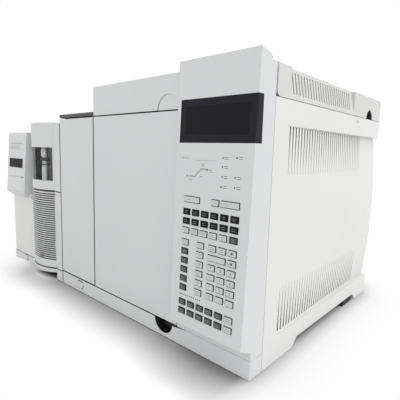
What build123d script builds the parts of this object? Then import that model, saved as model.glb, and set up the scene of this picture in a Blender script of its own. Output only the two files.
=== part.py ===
"""Bench gas chromatograph with a mass-spectrometer detector joined to its left side.

Working coordinates, in millimetres: x = 0 is the chromatograph's right side and runs negative to the left,
y = 0 is its front and runs to the back, z = 0 is the bench. Each node is moved so that the origin of the
exported frame is the middle of the whole footprint on the bench.
"""
from build123d import *
from math import atan2, cos, degrees, pi, sin, tan
import os

# ---- chromatograph casing ----
CASE_WIDTH = 579.0
CASE_DEPTH = 518.0
COVER_TOP = 478.0            # top of the covers over the deck
TOWER_TOP = 490.0            # top of the key tower
DECK_BELOW = 52.0            # the deck lies this far under the top of the covers
DECK_EDGE = 8.0              # dark front edge of the deck
SHEET = 2.0                  # folded sheet metal
MOULDING = 3.0               # moulded fronts
SEAM = 2.5                   # dark gap between fixed fronts
SLIT = 1.0                   # fine gap between covers
FIT = 0.3                    # gap between pieces that move past each other
RUN = 0.05                   # radial running clearance of a pin
BENCH_CLEAR = 2.0            # bottom edge of the skirts above the bench
BEZEL_TOP = 33.0
TOWER_WIDTH = 158.0
LEFT_PANEL_WIDTH = 149.0
LEFT_PANEL_DEPTH = 15.0
SIDE_FRONT = 34.0            # where the side panel starts behind the fascia
COVER_SKIRT = 48.0           # height of the electronics cover above the side panel
PAN_FLOOR = 19.0
FOOT_LENGTH = 50.0
FOOT_WIDTH = 28.0
FOOT_BEHIND = 85.0           # from the rear feet to the back
FOOT_FRONT_FRONT = 60.0      # front end of the front feet
SKIRT_FRONT_END = 133.0      # side skirt is low up to here, then steps up over the foot
SKIRT_STEP = 18.0

# ---- louvres of the right side ----
LOUVRE_PITCH = 10.25
LOUVRE_WIDTH = 3.6           # at a louvre's outer end
LOUVRE_TIP = 0.8             # and at its inner end
PILLOW_FRONT = 72.0
PILLOW_BOTTOM = 47.0
PILLOW_ABOVE = 39.0          # plain band above the pillow
PILLOW_START = 0.8           # depth of the recess round the pillow at its front end
PILLOW_DEPTH = 10.0          # and at the back, where it runs out of the side
PILLOW_SHEET = 2.2
LOUVRE_LENGTH = 76.0
UPPER_LOUVRES = (77.8, 416.5)
LOWER_LOUVRES = (73.7, 433.0)
UPPER_LAND = 1.0             # sheet left between the upper louvres and the step of the recess
LOWER_LAND = 7.0             # and under the lower ones
COVER_LAND = 3.0             # at both ends of the louvres in the cover
COVER_RECESS = (76.0, 345.0)
COVER_RECESS_DEPTH = 7.0
COVER_RECESS_UP = 6.0        # from the seam up to the recess of the cover
COVER_LOUVRES = (82.0, 335.0)
COVER_CORNER = 10.0
LIFT_NOTCH_BEHIND = 74.0     # from the lift notch to the back
LIFT_NOTCH_RADIUS = 20.0

# ---- front fascia (key tower) ----
FACE_TOP_PROUD = 9.0         # the face stands proud of the front by this much at its top
FACE_LOW_PROUD = 27.0        # and by this much at its chin
CHIN = 60.0                  # height of the chin
CHIN_FOOT = 47.0             # where the chin's underside meets the front
FACE_BEVEL = 9.0             # width of the bevelled left flank
TOWER_LIP = 485.0            # height of the tower's back edge
TOWER_LIP_Y = 16.0
TOWER_BACK_Y = 22.0
DISPLAY_BOTTOM = 361.0
DISPLAY_TOP = 429.0
DISPLAY_LEFT = 156.0
DISPLAY_WRAP = 2.0           # the lens reaches this far round the right corner, behind the front
LENS = 2.5
LENS_LEDGE = 5.0

# ---- keys: columns from the right side, rows by height on the face ----
KEY_COLUMNS = (122.4, 103.1, 83.8, 64.6, 45.3, 26.0)
NUMBER_COLUMNS = (89.2, *KEY_COLUMNS[3:])
KEY_WIDTH = 15.4
KEY_HEIGHT = 10.0
KEY_CORNER = 1.8             # rounded corners of a cap, seen from the front
KEY_STAND = 1.6              # caps stand proud of the face by this much
KEY_BODY = 9.0               # length of a key through the face
KEY_CLEAR = 0.35
KEY_TRAVEL = 1.0
KEY_EDGE = 1.2
TOP_ROW = 271.2
WIDE_KEY = 34.5
TALL_TOP_KEY = 10.2
START_X, STOP_X, PREP_X = 35.5, 64.0, 112.4
DARK_ROWS = (251.0, 235.7)
THIRD_ROW = 220.4
NUMBER_ROWS = (200.9, 185.7, 170.5, 155.3, 140.1, 124.9)
LOW_ROWS = (100.0, 84.8)
BOARD_GAP = 1.4              # from the back of the resting keys to the board
BOARD = 1.6
BOARD_POST = 2.0             # radius of the posts that carry the board
BOARD_POST_IN = 3.0          # and how far in from its edges they stand

# ---- oven ----
OVEN_IN_LEFT = 13.0          # oven walls, in from the door's edges
OVEN_IN_RIGHT = 25.0
OVEN_BOTTOM = 62.0
OVEN_LAGGING_ABOVE = 33.0    # from the oven up to the inlet tray
OVEN_FRONT = 30.0
OVEN_BACK = 220.5
LINER = 1.5
LAGGING_BACK = 248.0
LAGGING_BESIDE = 10.0        # the lagging reaches this far past the door's left gap
TRAY_DEPTH = 21.0            # sunk tray round the inlets
LID_HEIGHT = 61.0            # of the injector cover
LID_BACK = 326.0
LID_SHEET = 3.0
LID_PIVOT_DOWN = 6.0         # hinge axis under the lid's top
KNUCKLE_RADIUS = 4.5
KNUCKLE_LENGTH = 20.0
LID_EAR = 9.0                # width of the ear beside each lid knuckle
PIN_RADIUS = 2.0
THUMB_ARC_X = 192.0
THUMB_ARC_RADIUS = 27.0
THUMB_ARC_DEPTH = 1.2
REAR_COVER_FRONT = 333.0

# ---- door ----
DOOR_DEPTH = 28.0
DOOR_SHELL = 2.5
DOOR_GAP_ABOVE = 3.0
DOOR_GAP_BELOW = 2.0
DOOR_BOSS = 10.0             # height of the bosses round the hinge pins
DOOR_PIN = 8.0               # the pins reach this far into them
DOOR_PIVOT_IN = (5.0, 5.0)   # hinge axis, in from the door's left edge and front
PLUG_BACK = 58.0
PLUG_TAPER = 5.0
PLUG_INSET = 3.5
PLUG_RIGHT_EXTRA = 1.0       # more room where the plug swings past the oven's right wall
PLUG_FLANGE = 4.0
SEAL_WIDTH = 10.0
SEAL_THICK = 1.7
STRAP = 1.3

# ---- latch and buttons ----
RECESS_X = 195.5
RECESS_RADIUS = 25.0
RECESS_DEPTH = 32.0
RECESS_WALL = 2.0
PADDLE_PIVOT = (22.0, 24.0)
PADDLE_WIDTH = 26.0
PADDLE_PIN = 2.0
PADDLE_PLATE = 2.5
PADDLE_PIN_REACH = 4.0       # the pin runs this far into the ear at each side
PADDLE_TIP = (7.0, 6.0)      # the plate's lower edge: in front of the pin, and up from the recess's bottom
PADDLE_NOSE = 3.0            # the nose ends this far behind the pin
EAR_SHEET = 5.0
EAR_AHEAD = 4.0              # the ears reach this far in front of the pin
EAR_HEIGHT = 20.0
BUTTON_SIZE = (22.0, 15.0)
BUTTON_CORNER = 4.0
BUTTON_STEM = 2.5
BUTTON_IN = 86.0             # from the casing's left side
BUTTON_Z = 19.5
BUTTON_PROUD = 2.5
BUTTON_LENGTH = 14.0
BUTTON_TRAVEL = 2.0
SWITCH_DEPTH = 20.0

# ---- fan, heater and column ----
FAN_INSIDE = 18.0            # the fan ends this far inside the heater's ring
FAN_HUB = 16.0
FAN_BLADES = 6
FAN_Y = (196.0, 214.0)
FAN_BLADE_SHEET = 2.0
SHAFT_RADIUS = 4.0
MOTOR_RADIUS = 38.0
MOTOR_Y = (254.0, 318.0)
MOTOR_LEGS = 4
MOTOR_LEG_RADIUS = 3.0
MOTOR_LEG_IN = 6.0
SHROUD_Y = 184.0
HEATER_WIRE = 3.0
HEATER_Y = 205.0
COIL_BESIDE = 34.5           # from the column's inside to the oven's nearer side wall
COIL_ABOVE = 52.0            # and from its top to the oven's, where the inlets reach down
COIL_Y = (112.0, 132.0)
COIL_UP = 23.0               # the column hangs this far above the fan's axis
COIL_THICK = 8.0
CAGE_WIRE = 1.5
CAGE_SPOKES = 4
PEG_RADIUS = 3.0
INLET_ASIDE = 50.0           # each inlet, to the side of the oven's middle
INLET_Y = 110.0
INLET_UNDER = 32.0           # top of the inlets under the top of the lid
INLET_RADIUS = 14.0
SEPTUM_NUT = 11.0
NEEDLE_BORE = 1.5

# ---- exhaust and back ----
DUCT_IN = 14.5               # far wall, in from the oven's left wall
DUCT_WIDTH = 70.0
DUCT_HEIGHT = 60.0
DUCT_UNDER = 27.0            # from the oven's top down to the duct
DUCT_WALL = 2.0
DUCT_REACH = 22.0            # the duct stands out of the back by this much
FLAP_IN = 48.0               # the flap's axis, in from the back
FLAP_SHEET = 2.0
FLAP_GAP = 1.0
FLAP_SHAFT = 2.5
FLAP_MOTOR = 30.0
FAN_GRILLE_X = 75.0
FAN_GRILLE_Z = 160.0
FAN_GRILLE_RADIUS = 40.0
FAN_GRILLE_ROWS = 9
FAN_GRILLE_SLOT = 5.0
FITTING_X = (180.0, 215.0, 250.0)
FITTING_UNDER = 30.0         # axis of the gas fittings under the top of the covers
FITTING_HEX = 12.7
FITTING_BORE = 1.6
FITTING_REACH = 18.0
POWER_INLET_X = 110.0
POWER_INLET_Z = 66.0
POWER_FLANGE = (36.0, 26.0)
POWER_BODY = (28.0, 20.0)
POWER_SOCKET = (22.0, 14.0)
POWER_FLANGE_PROUD = 3.0
POWER_BODY_DEPTH = 26.0
POWER_SOCKET_DEPTH = 18.0
POWER_PIN = (2.0, 5.0)
POWER_PIN_SHY = 8.0          # the pins end this far inside the back
POWER_PIN_SPOTS = ((-6.0, -2.0), (0.0, 3.0), (6.0, -2.0))
FITTING_FLANGE = 5.0
FITTING_STEM = 12.0
FITTING_NUT = 6.0
FITTING_TUBE = 3.6
FITTING_WALL = 1.8
FITTING_STOP = 4.0           # the tube bore starts this far outside the back
SCREW_RADIUS = 3.5
SCREW_PROUD = 1.8
SCREW_IN = 12.0              # from the panels' edges
SCREW_LOW = 60.0
SCREW_UNDER = 38.0           # top screws under the top of the covers
SIDE_SCREW_BEHIND = 146.0
SIDE_SCREW_UNDER = 10.0      # under the seam of the electronics cover
SIDE_SCREW_SUNK = 1.2

# ---- electronics ----
BULKHEAD_FRONT = 36.0
SUPPLY_SIZE = (96.0, 150.0, 84.0)
SUPPLY_BEHIND = 48.0         # room for wiring between the supply and the back
SUPPLY_RIGHT = 22.0
SUPPLY_FINS = 8
FIN = 3.0
FIN_HEIGHT = 14.0
FIN_INSET = 10.0
MAIN_BOARD_Y = (70.0, 300.0)
MAIN_BOARD_FOOT = 70.0
MAIN_BOARD_UNDER = 30.0      # from the board up to the seam of the cover
BOARD_SCREW_IN = 8.0
STANDOFF_RADIUS = 3.0
BULKHEAD_FLANGE = 14.0
# chips as (from the board's front, from its foot, length, height, thickness)
CHIPS = ((50, 250, 40, 40, 4), (130, 260, 60, 30, 8), (70, 150, 50, 70, 12), (170, 80, 30, 90, 9))
STANDOFF = 6.0

# ---- detector ----
DETECTOR_GAP = 2.0
DETECTOR_WIDTH = 300.0
DETECTOR_DEPTH = 515.0
DETECTOR_TOP = 384.0
DETECTOR_CORNER = 8.0
BAY_WIDTH = 164.0            # open front bay: grille, window cover and column
BAY_DEPTH = 60.0
COLUMN_WIDTH = 33.0
COLUMN_TOP = 405.0
COLUMN_DEPTH = 30.0
LOWER_FRONT_TOP = 203.0
CHANNEL_Y = 12.0             # upper front, set back beside the control tower
BULGE = 19.0                 # the curved fronts swell forward by this much
BULGE_ENDS_Y = 2.0
STRIP_Z = (5.0, 29.0)
STRIP_SIDE = 40.0            # the strip is wrapped this far round the left corner
STRIP_RISE = 14.0            # the strip's lower edge rises by this much towards the column
COLUMN_GROOVE = (3.0, 1.5)   # height and depth of the grooves that carry the seams across the column
GRILLE_Z = (32.0, 233.0)
GRILLE_SHEET = 4.5
GRILLE_RIM = 5.0             # plain rim at the grille's left
GRILLE_RIM_TOP = 2.5
GRILLE_RIM_LOW = 13.0
GRILLE_RIB = 1.5             # the blades are tied together by ribs of this size behind them
GRILLE_PITCH = 5.8
GRILLE_SLOT = 3.2
WINDOW_COVER_Z = (238.0, 409.0)
WINDOW_Z = (262.0, 347.0)
WINDOW_RIM = 5.0
WINDOW_COVER_DEPTH = 45.0
PANE = 2.0
COVER_PIVOT = (6.0, 231.0)
LUG = 6.0                    # width of the lugs the window cover tips on
LUG_RADIUS = 4.5
TOWER_FRONT_TOP = 6.0
TOWER_FRONT_LOW = 18.0
CONTROL_TOWER_WIDTH = 123.0
CONTROL_TOWER_Z = (203.0, 386.0)
CONTROL_CHIN = 216.0
SMALL_DISPLAY_X = (11.0, 105.0)
SMALL_DISPLAY_Z = (287.0, 313.0)
FLAP_COVER_Z = (219.0, 261.0)
FLAP_COVER_EDGE = 7.0
FLAP_COVER_SHEET = 2.0
DETECTOR_BUTTON_IN = 222.0   # from the detector's right side
MANIFOLD_IN = 41.0           # from there to the manifold
MANIFOLD_WIDTH = 106.0
MANIFOLD_Y = (48.0, 300.0)
MANIFOLD_Z = (240.0, 372.0)
SOURCE_RADIUS = 30.0
SOURCE_RINGS = ((298.0, 303.0), (311.0, 323.0))
PUMP_RADIUS = 58.0
PUMP_FLANGE = 14.0           # thickness of the flange under the manifold
PUMP_FLANGE_EDGE = 4.0       # it stands out past the manifold by this much
PUMP_BODY_Z = 70.0
PUMP_BODY_IN = 6.0           # the body lies this far inside the cooling rings
PUMP_FOOT_IN = 20.0          # and the foot this far
PUMP_RINGS = (90.0, 110.0, 130.0)
PUMP_RING = 6.0
PUMP_Y = 180.0
TRANSFER_Y = 140.0
TRANSFER_Z = 300.0
TRANSFER_RADIUS = 10.0
DETECTOR_FLOOR = 16.0

# ---- worked out ----
X_LEFT = -CASE_WIDTH
X_TOWER = -TOWER_WIDTH
X_PANEL = X_LEFT + LEFT_PANEL_WIDTH
DECK_TOP = COVER_TOP - DECK_BELOW
SIDE_TOP = COVER_TOP - COVER_SKIRT
TRAY = DECK_TOP - TRAY_DEPTH
LID_SEAT = COVER_TOP - LID_HEIGHT
LID_PIVOT = (LID_BACK, COVER_TOP - LID_PIVOT_DOWN)
FOOT_BACK_FRONT = CASE_DEPTH - FOOT_BEHIND - FOOT_LENGTH
PILLOW_TOP = SIDE_TOP - PILLOW_ABOVE
COVER_RECESS_BOTTOM = SIDE_TOP + COVER_RECESS_UP
LIFT_NOTCH_Y = CASE_DEPTH - LIFT_NOTCH_BEHIND
DOOR_LEFT = X_PANEL + SEAM
DOOR_RIGHT = X_TOWER - SEAM
DOOR_BOTTOM = BEZEL_TOP + DOOR_GAP_BELOW
DOOR_TOP = DECK_TOP - DECK_EDGE - DOOR_GAP_ABOVE
DOOR_AXIS = (DOOR_LEFT + DOOR_PIVOT_IN[0], DOOR_PIVOT_IN[1])
OVEN_LEFT = DOOR_LEFT + OVEN_IN_LEFT
OVEN_RIGHT = DOOR_RIGHT - OVEN_IN_RIGHT
OVEN_WIDTH = OVEN_RIGHT - OVEN_LEFT
OVEN_X = -(OVEN_LEFT + OVEN_RIGHT) / 2
OVEN_TOP = TRAY - OVEN_LAGGING_ABOVE
OVEN_HEIGHT = OVEN_TOP - OVEN_BOTTOM
OVEN_Z = OVEN_BOTTOM + OVEN_HEIGHT / 2
LAGGING_LEFT = LAGGING_BESIDE - X_PANEL
LAGGING_RIGHT = TOWER_WIDTH + SHEET
COIL_Z = OVEN_Z + COIL_UP
COIL_RADIUS = min(OVEN_WIDTH / 2 - COIL_BESIDE, OVEN_HEIGHT / 2 - COIL_UP - COIL_ABOVE)
HEATER_RADIUS = COIL_RADIUS + COIL_THICK
FAN_RADIUS = HEATER_RADIUS - FAN_INSIDE
INLET_X = (OVEN_X + INLET_ASIDE, OVEN_X - INLET_ASIDE)
INLET_TOP = COVER_TOP - INLET_UNDER
DUCT_X = (-OVEN_LEFT - DUCT_IN - DUCT_WIDTH, -OVEN_LEFT - DUCT_IN)
DUCT_Z = (OVEN_TOP - DUCT_UNDER - DUCT_HEIGHT, OVEN_TOP - DUCT_UNDER)
DUCT_END = CASE_DEPTH + DUCT_REACH
FLAP_Y = CASE_DEPTH - FLAP_IN
FITTING_Z = COVER_TOP - FITTING_UNDER
SUPPLY_FRONT = CASE_DEPTH - SUPPLY_BEHIND - SUPPLY_SIZE[1]
MAIN_BOARD_Z = (MAIN_BOARD_FOOT, SIDE_TOP - MAIN_BOARD_UNDER)
BUTTON_X = CASE_WIDTH - BUTTON_IN
D_RIGHT = X_LEFT - DETECTOR_GAP
D_LEFT = D_RIGHT - DETECTOR_WIDTH
BAY_LEFT = D_RIGHT - BAY_WIDTH
COLUMN_LEFT = D_RIGHT - COLUMN_WIDTH
DETECTOR_BUTTON_X = DETECTOR_BUTTON_IN - D_RIGHT
MANIFOLD_X = (MANIFOLD_IN - D_RIGHT, MANIFOLD_IN + MANIFOLD_WIDTH - D_RIGHT)
WHOLE_WIDTH = CASE_WIDTH + DETECTOR_GAP + DETECTOR_WIDTH
MID_X = -WHOLE_WIDTH / 2
TILT = atan2(FACE_LOW_PROUD - FACE_TOP_PROUD, TOWER_TOP - CHIN)
LOWEST_KEY_PROUD = (FACE_LOW_PROUD - (LOW_ROWS[-1] - CHIN) * tan(TILT)
                    + KEY_STAND * cos(TILT) + (KEY_HEIGHT / 2 - KEY_EDGE) * sin(TILT))
MID_Y = (DUCT_END - max(FACE_LOW_PROUD, LOWEST_KEY_PROUD)) / 2


# ---- small helpers ----
def block(x0, x1, y0, y1, z0, z1):
    """Box between two corners, given in any order."""
    size = (abs(x1 - x0), abs(y1 - y0), abs(z1 - z0))
    return Pos((x0 + x1) / 2, (y0 + y1) / 2, (z0 + z1) / 2) * Box(*size)


def rod(start, axis, length, radius):
    """Cylinder that starts at a point and runs along +X, +Y or +Z, or the other way if length is below 0."""
    direction = {"x": (1, 0, 0), "y": (0, 1, 0), "z": (0, 0, 1)}[axis]
    plane = Plane(origin=start, z_dir=direction)
    return extrude(plane * Circle(radius), amount=length)


def tube(start, axis, length, outer, inner):
    """Straight tube, open at both ends."""
    return rod(start, axis, length, outer) - rod(start, axis, length, inner)


def outline_x(x0, x1, *edges):
    """Closed outline in the y-z plane, given as edges at x = 0, carried from x0 to x1."""
    return Pos(x0, 0, 0) * extrude(make_face(edges), amount=x1 - x0, dir=(1, 0, 0))


def prism_x(x0, x1, points):
    """Straight-sided outline of (y, z) points, carried from x0 to x1."""
    corners = [(0, y, z) for y, z in points]
    return outline_x(x0, x1, *Polyline(*corners, close=True).edges())


def together(*solids):
    """Separate solids that share a node."""
    return Compound(children=[piece for solid in solids for piece in solid.solids()])


def face_y(z):
    """The fascia's front face: how far back it lies at a height."""
    return -FACE_TOP_PROUD - (FACE_LOW_PROUD - FACE_TOP_PROUD) * (TOWER_TOP - z) / (TOWER_TOP - CHIN)


def tower_y(z):
    """The control tower's front face: how far back it lies at a height."""
    span = CONTROL_TOWER_Z[1] - CONTROL_CHIN
    return -TOWER_FRONT_TOP - (TOWER_FRONT_LOW - TOWER_FRONT_TOP) * (CONTROL_TOWER_Z[1] - z) / span


def louvre_row(first, last):
    """Places along a row of louvres at the common pitch."""
    count = int((last - first) / LOUVRE_PITCH)
    return [first + LOUVRE_PITCH * (index + 0.5) for index in range(count)]


# ---- casing of the chromatograph ----
def base_pan():
    x0, x1 = X_LEFT + SHEET, -MOULDING
    y0, y1 = MOULDING, CASE_DEPTH - SHEET
    pan = block(x0, x1, y0, y1, PAN_FLOOR, BEZEL_TOP)
    pan -= block(x0 + SHEET, x1 - SHEET, y0 + SHEET, y1 - SHEET, PAN_FLOOR + SHEET, BEZEL_TOP)
    cup = RECESS_RADIUS + RECESS_WALL + FIT
    pan -= block(-RECESS_X - cup, -RECESS_X + cup, y0, RECESS_DEPTH + FIT, PAN_FLOOR, BEZEL_TOP)
    return pan - switch_space(BUTTON_X)


def switch_space(x):
    """Cut-out in a floor for a power button and its switch."""
    half = BUTTON_SIZE[0] / 2 + SHEET
    return block(-x - half, -x + half, 0, BUTTON_LENGTH + FIT + SWITCH_DEPTH, 0, BEZEL_TOP)


def front_bezel():
    """Lower front strip, wrapped round the right corner, with the finger recess moulded in."""
    strip = block(X_LEFT, 0, 0, SIDE_FRONT - SLIT, BENCH_CLEAR, BEZEL_TOP)
    strip -= block(X_LEFT, -MOULDING, MOULDING, SIDE_FRONT, BENCH_CLEAR, BEZEL_TOP)
    strip = fillet(strip.edges().filter_by(Axis.Z).filter_by_position(Axis.Y, -1, 1)
                   .filter_by_position(Axis.X, -1, 1), MOULDING / 2)
    below = block(-RECESS_X - 2 * RECESS_RADIUS, -RECESS_X + 2 * RECESS_RADIUS, 0, RECESS_DEPTH, 0, BEZEL_TOP)
    cup = rod((-RECESS_X, 0, BEZEL_TOP), "y", RECESS_DEPTH, RECESS_RADIUS + RECESS_WALL) & below
    hollow = rod((-RECESS_X, 0, BEZEL_TOP), "y", RECESS_DEPTH - RECESS_WALL, RECESS_RADIUS)
    pin = rod((-RECESS_X - RECESS_RADIUS - 1, *PADDLE_PIVOT), "x", 2 * RECESS_RADIUS + 2, PADDLE_PIN + RUN)
    ears = []
    for side in (-1, 1):
        inner = -RECESS_X + side * (PADDLE_WIDTH / 2 + FIT)
        ear = block(inner, inner + side * EAR_SHEET, PADDLE_PIVOT[0] - EAR_AHEAD, RECESS_DEPTH,
                    BEZEL_TOP - EAR_HEIGHT, BEZEL_TOP)
        ears.append(ear & rod((-RECESS_X, 0, BEZEL_TOP), "y", RECESS_DEPTH, RECESS_RADIUS + 1))
    strip = strip + cup - hollow
    for ear in ears:
        strip += ear
    reach = PADDLE_WIDTH / 2 + PADDLE_PIN_REACH
    strip -= pin & block(-RECESS_X - reach, -RECESS_X + reach, 0, RECESS_DEPTH, 0, BEZEL_TOP)
    return strip - button_shape(BUTTON_X, -1, MOULDING + 2, FIT)


def left_front_panel():
    panel = block(X_LEFT, X_PANEL, 0, LEFT_PANEL_DEPTH, DOOR_BOTTOM, DOOR_TOP)
    return open_back(panel, X_LEFT, X_PANEL, LEFT_PANEL_DEPTH, DOOR_BOTTOM, DOOR_TOP, SHEET)


def open_back(solid, x0, x1, depth, z0, z1, wall):
    """Hollow a front panel from behind, leaving its face and four edges."""
    return solid - block(x0 + wall, x1 - wall, wall, depth, z0 + wall, z1 - wall)


def left_side_panel():
    side = block(X_LEFT, X_LEFT + SHEET, LEFT_PANEL_DEPTH, CASE_DEPTH - SHEET,
                 PAN_FLOOR, DECK_TOP - DECK_EDGE)
    return side - rod((X_LEFT - 1, TRANSFER_Y, TRANSFER_Z), "x", SHEET + 2, TRANSFER_RADIUS + 5)


def right_side_panel():
    """Outer side with its pillow-shaped louvre field, which grows out of the flat sheet towards the back."""
    bottom = (SKIRT_STEP, BENCH_CLEAR)
    skirt = prism_x(-MOULDING, 0, [
        (SIDE_FRONT, bottom[1]), (SKIRT_FRONT_END, bottom[1]), (SKIRT_FRONT_END + SKIRT_STEP, bottom[0]),
        (FOOT_BACK_FRONT + FOOT_LENGTH, bottom[0]), (FOOT_BACK_FRONT + FOOT_LENGTH + SKIRT_STEP, bottom[1]),
        (CASE_DEPTH - SHEET, bottom[1]), (CASE_DEPTH - SHEET, SIDE_TOP), (SIDE_FRONT, SIDE_TOP)])
    back = PILLOW_DEPTH + PILLOW_SHEET
    end = CASE_DEPTH - SHEET
    rim = block(-back, 0, PILLOW_FRONT - SHEET, end, PILLOW_BOTTOM - SHEET, PILLOW_TOP + SHEET)
    window = block(-back - 1, 1, PILLOW_FRONT, end, PILLOW_BOTTOM, PILLOW_TOP)
    panel = (skirt + rim) - over_pillow(0) - (window - over_pillow(PILLOW_SHEET))

    def louvres(ends, outer, inner):
        wide, narrow = LOUVRE_WIDTH / 2, LOUVRE_TIP / 2
        return [prism_x(-back - 1, 1, [(y - wide, outer), (y + wide, outer),
                                       (y + narrow, inner), (y - narrow, inner)])
                for y in louvre_row(*ends)]

    high, low = PILLOW_TOP - UPPER_LAND, PILLOW_BOTTOM + LOWER_LAND
    slots = louvres(UPPER_LOUVRES, high, high - LOUVRE_LENGTH)
    slots += louvres(LOWER_LOUVRES, low, low + LOUVRE_LENGTH)
    slots.append(side_screw(SCREW_RADIUS, SIDE_SCREW_SUNK + 1))
    return panel - slots


def over_pillow(inset):
    """Everything outside the pillow, or outside a surface set this far into it.

    Across the side it is an arc, flush in the middle and deepest along its lower and upper edge.
    The edges start almost flush at the front and sink evenly towards the back.
    """
    low, high = PILLOW_BOTTOM, PILLOW_TOP
    sections = []
    for y, depth in ((PILLOW_FRONT, PILLOW_START), (CASE_DEPTH + SHEET, PILLOW_DEPTH)):
        deep, outside = -depth - inset, PILLOW_DEPTH / 2
        arc = ThreePointArc((deep, y, low), (-inset, y, (low + high) / 2), (deep, y, high))
        rest = Polyline((deep, y, high), (outside, y, high), (outside, y, low), (deep, y, low))
        sections.append(make_face([arc.edge(), *rest.edges()]))
    return loft(sections, ruled=True)


def rear_panel():
    """Back sheet with the fan grille, the duct's cut-out and the holes for fittings and mains inlet."""
    y0 = CASE_DEPTH - SHEET
    panel = block(X_LEFT, 0, y0, CASE_DEPTH, BENCH_CLEAR + SHEET, COVER_TOP - SHEET)
    panel -= block(-DUCT_X[1] - FIT, -DUCT_X[0] + FIT, y0 - 1, CASE_DEPTH + 1,
                   DUCT_Z[0] - FIT, DUCT_Z[1] + FIT)
    for x in FITTING_X:
        panel -= rod((-x, y0 - 1, FITTING_Z), "y", SHEET + 2, FITTING_BORE + FITTING_WALL + FIT)
    half = POWER_BODY[0] / 2
    panel -= block(-POWER_INLET_X - half, -POWER_INLET_X + half, y0 - 1, CASE_DEPTH + 1,
                   POWER_INLET_Z - POWER_BODY[1] / 2, POWER_INLET_Z + POWER_BODY[1] / 2)
    for row in range(FAN_GRILLE_ROWS):
        z = FAN_GRILLE_Z + FAN_GRILLE_RADIUS * (2 * (row + 0.5) / FAN_GRILLE_ROWS - 1)
        half = (FAN_GRILLE_RADIUS ** 2 - (z - FAN_GRILLE_Z) ** 2) ** 0.5
        panel -= block(-FAN_GRILLE_X - half, -FAN_GRILLE_X + half, y0 - 1, CASE_DEPTH + 1,
                       z - FAN_GRILLE_SLOT / 2, z + FAN_GRILLE_SLOT / 2)
    return panel - over_pillow(0)


def top_deck():
    """Dark deck with a sunk tray round the inlets; its front edge shows above the left panel."""
    low = DECK_TOP - DECK_EDGE
    tray_left, tray_right = X_PANEL - SHEET, X_TOWER - SHEET
    deck = block(X_LEFT, X_PANEL - SLIT, 0, CASE_DEPTH - SHEET, low, DECK_TOP)
    deck -= block(X_LEFT + SHEET, X_PANEL - SLIT - SHEET, SHEET, CASE_DEPTH - 2 * SHEET,
                  low, DECK_TOP - SHEET)
    tray = block(X_PANEL - SLIT - SHEET, tray_right, OVEN_FRONT, REAR_COVER_FRONT, TRAY, TRAY + SHEET)
    step = block(X_PANEL - SLIT - SHEET, tray_right, REAR_COVER_FRONT - SHEET, REAR_COVER_FRONT,
                 TRAY, DECK_TOP)
    riser = block(X_PANEL - SLIT - SHEET, X_PANEL - SLIT, OVEN_FRONT, REAR_COVER_FRONT, TRAY, DECK_TOP)
    back = block(tray_left, tray_right, REAR_COVER_FRONT - SHEET, CASE_DEPTH - SHEET,
                 DECK_TOP - SHEET, DECK_TOP)
    strap = block(DOOR_LEFT - SEAM - SLIT - SHEET, DOOR_AXIS[0] + 8, PIN_RADIUS / 2, OVEN_FRONT + SHEET,
                  DOOR_TOP + FIT, DOOR_TOP + FIT + STRAP)
    web = block(X_PANEL - SLIT - SHEET, X_PANEL - SLIT, PIN_RADIUS / 2, OVEN_FRONT, DOOR_TOP + FIT, DECK_TOP)
    deck = deck + tray + step + riser + back + strap + web
    for x in INLET_X:
        deck -= rod((-x, INLET_Y, TRAY - 1), "z", SHEET + 2, INLET_RADIUS + FIT)
    return deck


def pneumatics_cover():
    """Plain cover over the gas controls at the back of the top."""
    x0, x1, y0, y1 = X_LEFT, X_TOWER - SLIT, REAR_COVER_FRONT, CASE_DEPTH
    cover = block(x0, x1, y0, y1, DECK_TOP, COVER_TOP)
    cover = fillet(cover.edges().filter_by(Axis.Y).group_by(Axis.Z)[-1].sort_by(Axis.X)[0], SHEET)
    cover -= block(x0 + SHEET, x1 - SHEET, y0 + SHEET, y1 - SHEET, DECK_TOP, COVER_TOP - SHEET)
    cover -= block(x0, x1, y1 - SHEET, y1, DECK_TOP, COVER_TOP - SHEET)
    return cover


def electronics_cover():
    """Cover over the electronics: louvred side in a shallow tapering recess, and a half-round lift notch."""
    y0, y1, z0 = SIDE_FRONT + SEAM, CASE_DEPTH, SIDE_TOP + SLIT
    cover = block(X_TOWER, 0, y0, y1, z0, COVER_TOP)
    front_foot = cover.edges().filter_by(Axis.X).group_by(Axis.Z)[0].sort_by(Axis.Y)[0]
    cover = fillet(front_foot, COVER_CORNER)
    hollow = block(X_TOWER + SHEET, -SHEET, y0 + SHEET, y1 - SHEET, z0, COVER_TOP - SHEET)
    cover -= hollow
    cover -= block(X_TOWER, 0, y1 - SHEET, y1, z0, COVER_TOP - SHEET)
    depth, sheet = COVER_RECESS_DEPTH, SHEET
    ramp_wall = prism_across(COVER_RECESS[0] - sheet, COVER_RECESS[1] + sheet, [
        (0, COVER_RECESS_BOTTOM), (0, COVER_TOP), (-depth - sheet, COVER_TOP),
        (-depth - sheet, COVER_TOP - sheet), (-sheet, COVER_RECESS_BOTTOM)])
    dish = prism_across(COVER_RECESS[0], COVER_RECESS[1], [
        (1, COVER_RECESS_BOTTOM), (0, COVER_RECESS_BOTTOM), (-depth, COVER_TOP - sheet),
        (-depth, COVER_TOP + 1), (1, COVER_TOP + 1)])
    cover = cover + ramp_wall - dish
    for y in louvre_row(*COVER_LOUVRES):
        cover -= block(-depth - sheet - 1, 1, y - LOUVRE_WIDTH / 2, y + LOUVRE_WIDTH / 2,
                       COVER_RECESS_BOTTOM + COVER_LAND, COVER_TOP - sheet - COVER_LAND)
    notch = rod((-SHEET - 1, LIFT_NOTCH_Y, z0), "x", SHEET + 2, LIFT_NOTCH_RADIUS)
    return cover - notch


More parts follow.
